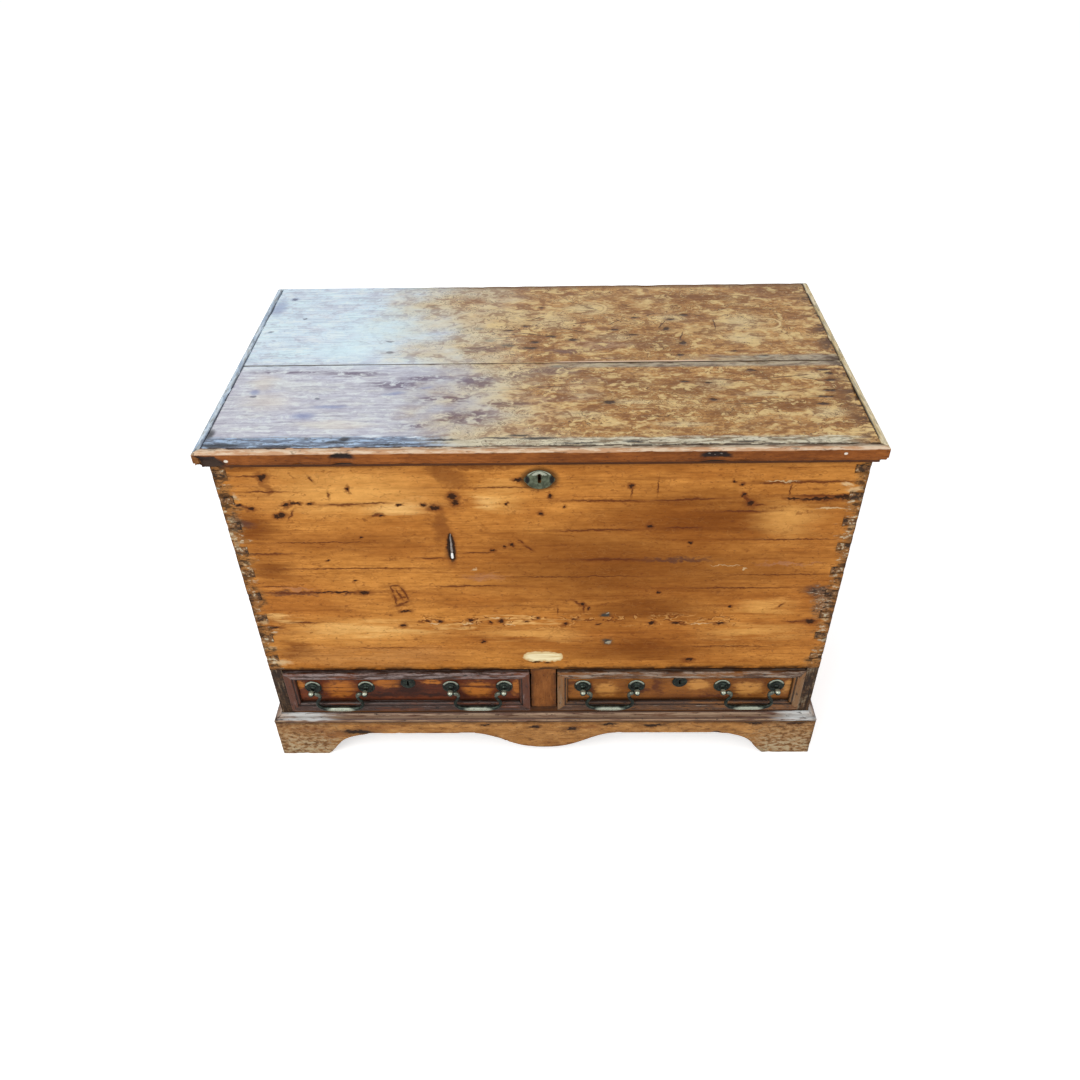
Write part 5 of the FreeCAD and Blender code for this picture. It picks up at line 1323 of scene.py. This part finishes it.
def drawers():
    right = drawer_material(
        "right_drawer_pine", (9.4, 0.3, 0.2), ((148, 90, 32), (117, 66, 22), (80, 42, 16), (56, 28, 12)),
        [(222, 190, 14, 30), (196, 176, 20, 8), (60, 200, 16, 10), (340, 160, 60, 6), (92, 186, 8, 24)],
        [(302, 192, 28, 18), (124, 182, 30, 22), (402, 182, 34, 24), (476, 186, 12, 22)],
        (84, 40, 18), (200, 140, 70))
    drawer_pieces("right", 30, right, ((86, 56, 34), (130, 82, 36), (162, 146, 130), (140, 104, 66)), 0.45)
    left = drawer_material(
        "left_drawer_pine", (6.0, 0.3, 0.2), ((112, 52, 20), (80, 34, 15), (54, 24, 12), (38, 16, 10)),
        [(-265, 186, 40, 30), (-230, 168, 60, 8), (-442, 180, 10, 30), (-180, 196, 12, 16),
         (-320, 166, 50, 9)],
        [(-402, 186, 36, 30), (-129, 184, 36, 28), (-308, 200, 34, 15), (-478, 196, 12, 16),
         (-54, 186, 14, 26), (-220, 204, 24, 8)],
        (40, 16, 9), (186, 112, 40))
    drawer_pieces("left", 33, left, ((64, 40, 30), (104, 52, 20), (150, 134, 130), (96, 50, 28)), 0.50)


def metal_pieces():
    """An escutcheon's profile is (share of the way from keyhole to rim, millimetres out)."""
    round_plate = [(0.0, -3.0), (0.0, 1.5), (0.06, 1.8), (0.3, 2.1), (0.62, 2.3), (0.8, 1.9), (0.9, 1.6),
                   (0.97, 1.1), (1.0, 0.4), (1.0, 0.0)]
    oval_plate = [(0.0, -4.0), (0.0, 1.5), (0.05, 1.9), (0.3, 2.15), (0.5, 2.1), (0.62, 1.5), (0.78, 1.3),
                  (0.88, 1.75), (0.95, 1.6), (0.99, 0.9), (1.0, 0.0)]
    for i, side in enumerate(("left", "right")):
        handle_parts(side)
        for j, place in enumerate(("inner", "outer")):
            bail(f"{side}_drawer_{place}_bail", 1 + i * 2 + j)
        plate(f"{side}_drawer_escutcheon", side + "_drawer", BRASS, (14.5, 14.5), (3.6, 12.0, 0.0),
              round_plate, 0.0, 10.5)
    plate("chest_escutcheon", "case", PLATE, (23.0, 18.5), (6.0, 19.0, 2.5), oval_plate, 2.5, 21.0, True)
    old_nail()


def material_of(name):
    if SLOTS[name] in ("iron", "old_brass"):
        return IRON if SLOTS[name] == "iron" else BRASS
    if name == "back_board_upper":
        return BACK_UPPER
    if name in ("back_board_lower", "rear_brackets"):
        return BACK_LOWER
    along_y = ("drawer_runners", "centre_guide", "drawer_sides", "till_tray", "till_lid")
    return RAW_Y if name.endswith(along_y) else RAW


def inner_pieces():
    """CAD nodes that keep their shape and get a finished material."""
    for name, node in CAD.items():
        if node.hide_render:
            continue
        node.data.materials.clear()
        node.data.materials.append(material_of(name))
        bevel = node.modifiers.new("soft edges", "BEVEL")
        bevel.width = SOFT_METAL if SLOTS[name] in ("iron", "old_brass") else SOFT_WOOD
        bevel.segments = 2
        bevel.limit_method = "ANGLE"
        bevel.angle_limit = math.radians(35)


case_pieces()
lid_pieces()
plinth_pieces()
drawers()
metal_pieces()
inner_pieces()


# Camera, lights and floor -------------------------------------------------------------------------

PITCH, YAW, ROLL = 0.689833, -0.021691, -0.020662
EYE = (0.025253, FRONT - 1.212223, 1.562847)
LENS = 30.717
WHITE = (1, 1, 1, 1)
SKY, SKY_STRENGTH = (0.93, 0.96, 1.0, 1), 0.62
FLOOR_HALF, FLOOR_DROP = 9, 0.0004
FLOOR_GREY, FLOOR_GLOW = (0.8, 0.8, 0.8, 1), 0.55
LAMPS = [     # name, place, target, width, height, watts, colour
    ("key", (-1.9, -2.6, 2.9), (0, 0, 0.45), 2.2, 2.2, 78, (1.0, 0.985, 0.96)),
    ("fill", (2.6, -2.0, 1.9), (0, 0, 0.4), 2.4, 2.4, 26, (1.0, 0.98, 0.95)),
    ("window", (-1.05, 2.9, 2.45), (-0.35, 0.0, 0.76), 1.5, 1.1, 14, (0.80, 0.90, 1.0)),
]


def camera():
    data = bpy.data.cameras.new("camera")
    data.lens = LENS
    data.sensor_width = 36.0
    data.clip_start = 0.05
    data.clip_end = 50.0
    eye = in_scene("camera", data)
    ahead = Vector((math.sin(YAW) * math.cos(PITCH), math.cos(YAW) * math.cos(PITCH), -math.sin(PITCH)))
    right = Vector((math.cos(YAW), -math.sin(YAW), 0))
    up = right.cross(ahead)
    across = right * math.cos(ROLL) + up * math.sin(ROLL)
    above = up * math.cos(ROLL) - right * math.sin(ROLL)
    turn = Matrix((across, above, -ahead)).transposed()
    eye.matrix_world = Matrix.Translation(EYE) @ turn.to_4x4()
    bpy.context.scene.camera = eye


def lamp(name, place, target, width, height, watts, colour):
    data = bpy.data.lights.new(name, "AREA")
    data.energy = watts
    data.color = colour
    data.shape = "RECTANGLE"
    data.size = width
    data.size_y = height
    light = in_scene(name, data)
    light.location = place
    light.rotation_mode = "QUATERNION"
    light.rotation_quaternion = (Vector(target) - Vector(place)).to_track_quat("-Z", "Y")
    light.visible_camera = False


def backdrop():
    """White world for what the camera and mirrors see, softer for what lights the chest."""
    world = bpy.data.worlds.new("studio")
    bpy.context.scene.world = world
    world.use_nodes = True
    tree = world.node_tree
    tree.nodes.clear()
    path = add_node(tree, "LightPath").outputs
    bent = {0: path["Is Glossy Ray"], 1: path["Is Transmission Ray"]}
    mirrored = add_node(tree, "Math", bent, operation="MAXIMUM").outputs[0]
    seen = add_node(tree, "Math", {0: path["Is Camera Ray"], 1: mirrored}, operation="MAXIMUM")
    lit = add_node(tree, "Background", {"Color": SKY, "Strength": SKY_STRENGTH})
    shown = add_node(tree, "Background", {"Color": WHITE})
    choice = add_node(tree, "MixShader", {0: seen.outputs[0], 1: lit.outputs[0], 2: shown.outputs[0]})
    add_node(tree, "OutputWorld", {0: choice.outputs[0]})


def ground():
    """A pale floor that keeps the chest's shadow and glows for the camera alone."""
    corners = (-FLOOR_HALF, FLOOR_HALF)
    mesh = grid_mesh("floor", [[(x, y, 0.0) for x in corners] for y in corners], closed=False, caps=False)
    floor = in_scene("floor", mesh)
    floor.location.z = -FLOOR_DROP
    pale = bpy.data.materials.new("pale_floor")
    pale.use_nodes = True
    tree = pale.node_tree
    tree.nodes.clear()
    seen = add_node(tree, "LightPath").outputs["Is Camera Ray"]
    dimmed = add_node(tree, "Math", {0: seen, 1: FLOOR_GLOW}, operation="MULTIPLY")
    card = add_node(tree, "BsdfDiffuse", {"Color": FLOOR_GREY})
    glow = add_node(tree, "Emission", {"Color": WHITE, "Strength": dimmed.outputs[0]})
    whole = add_node(tree, "AddShader", {0: card.outputs[0], 1: glow.outputs[0]})
    add_node(tree, "OutputMaterial", {0: whole.outputs[0]})
    mesh.materials.append(pale)


camera()
backdrop()
ground()
for row in LAMPS:
    lamp(*row)
bpy.context.scene.view_settings.view_transform = "Standard"
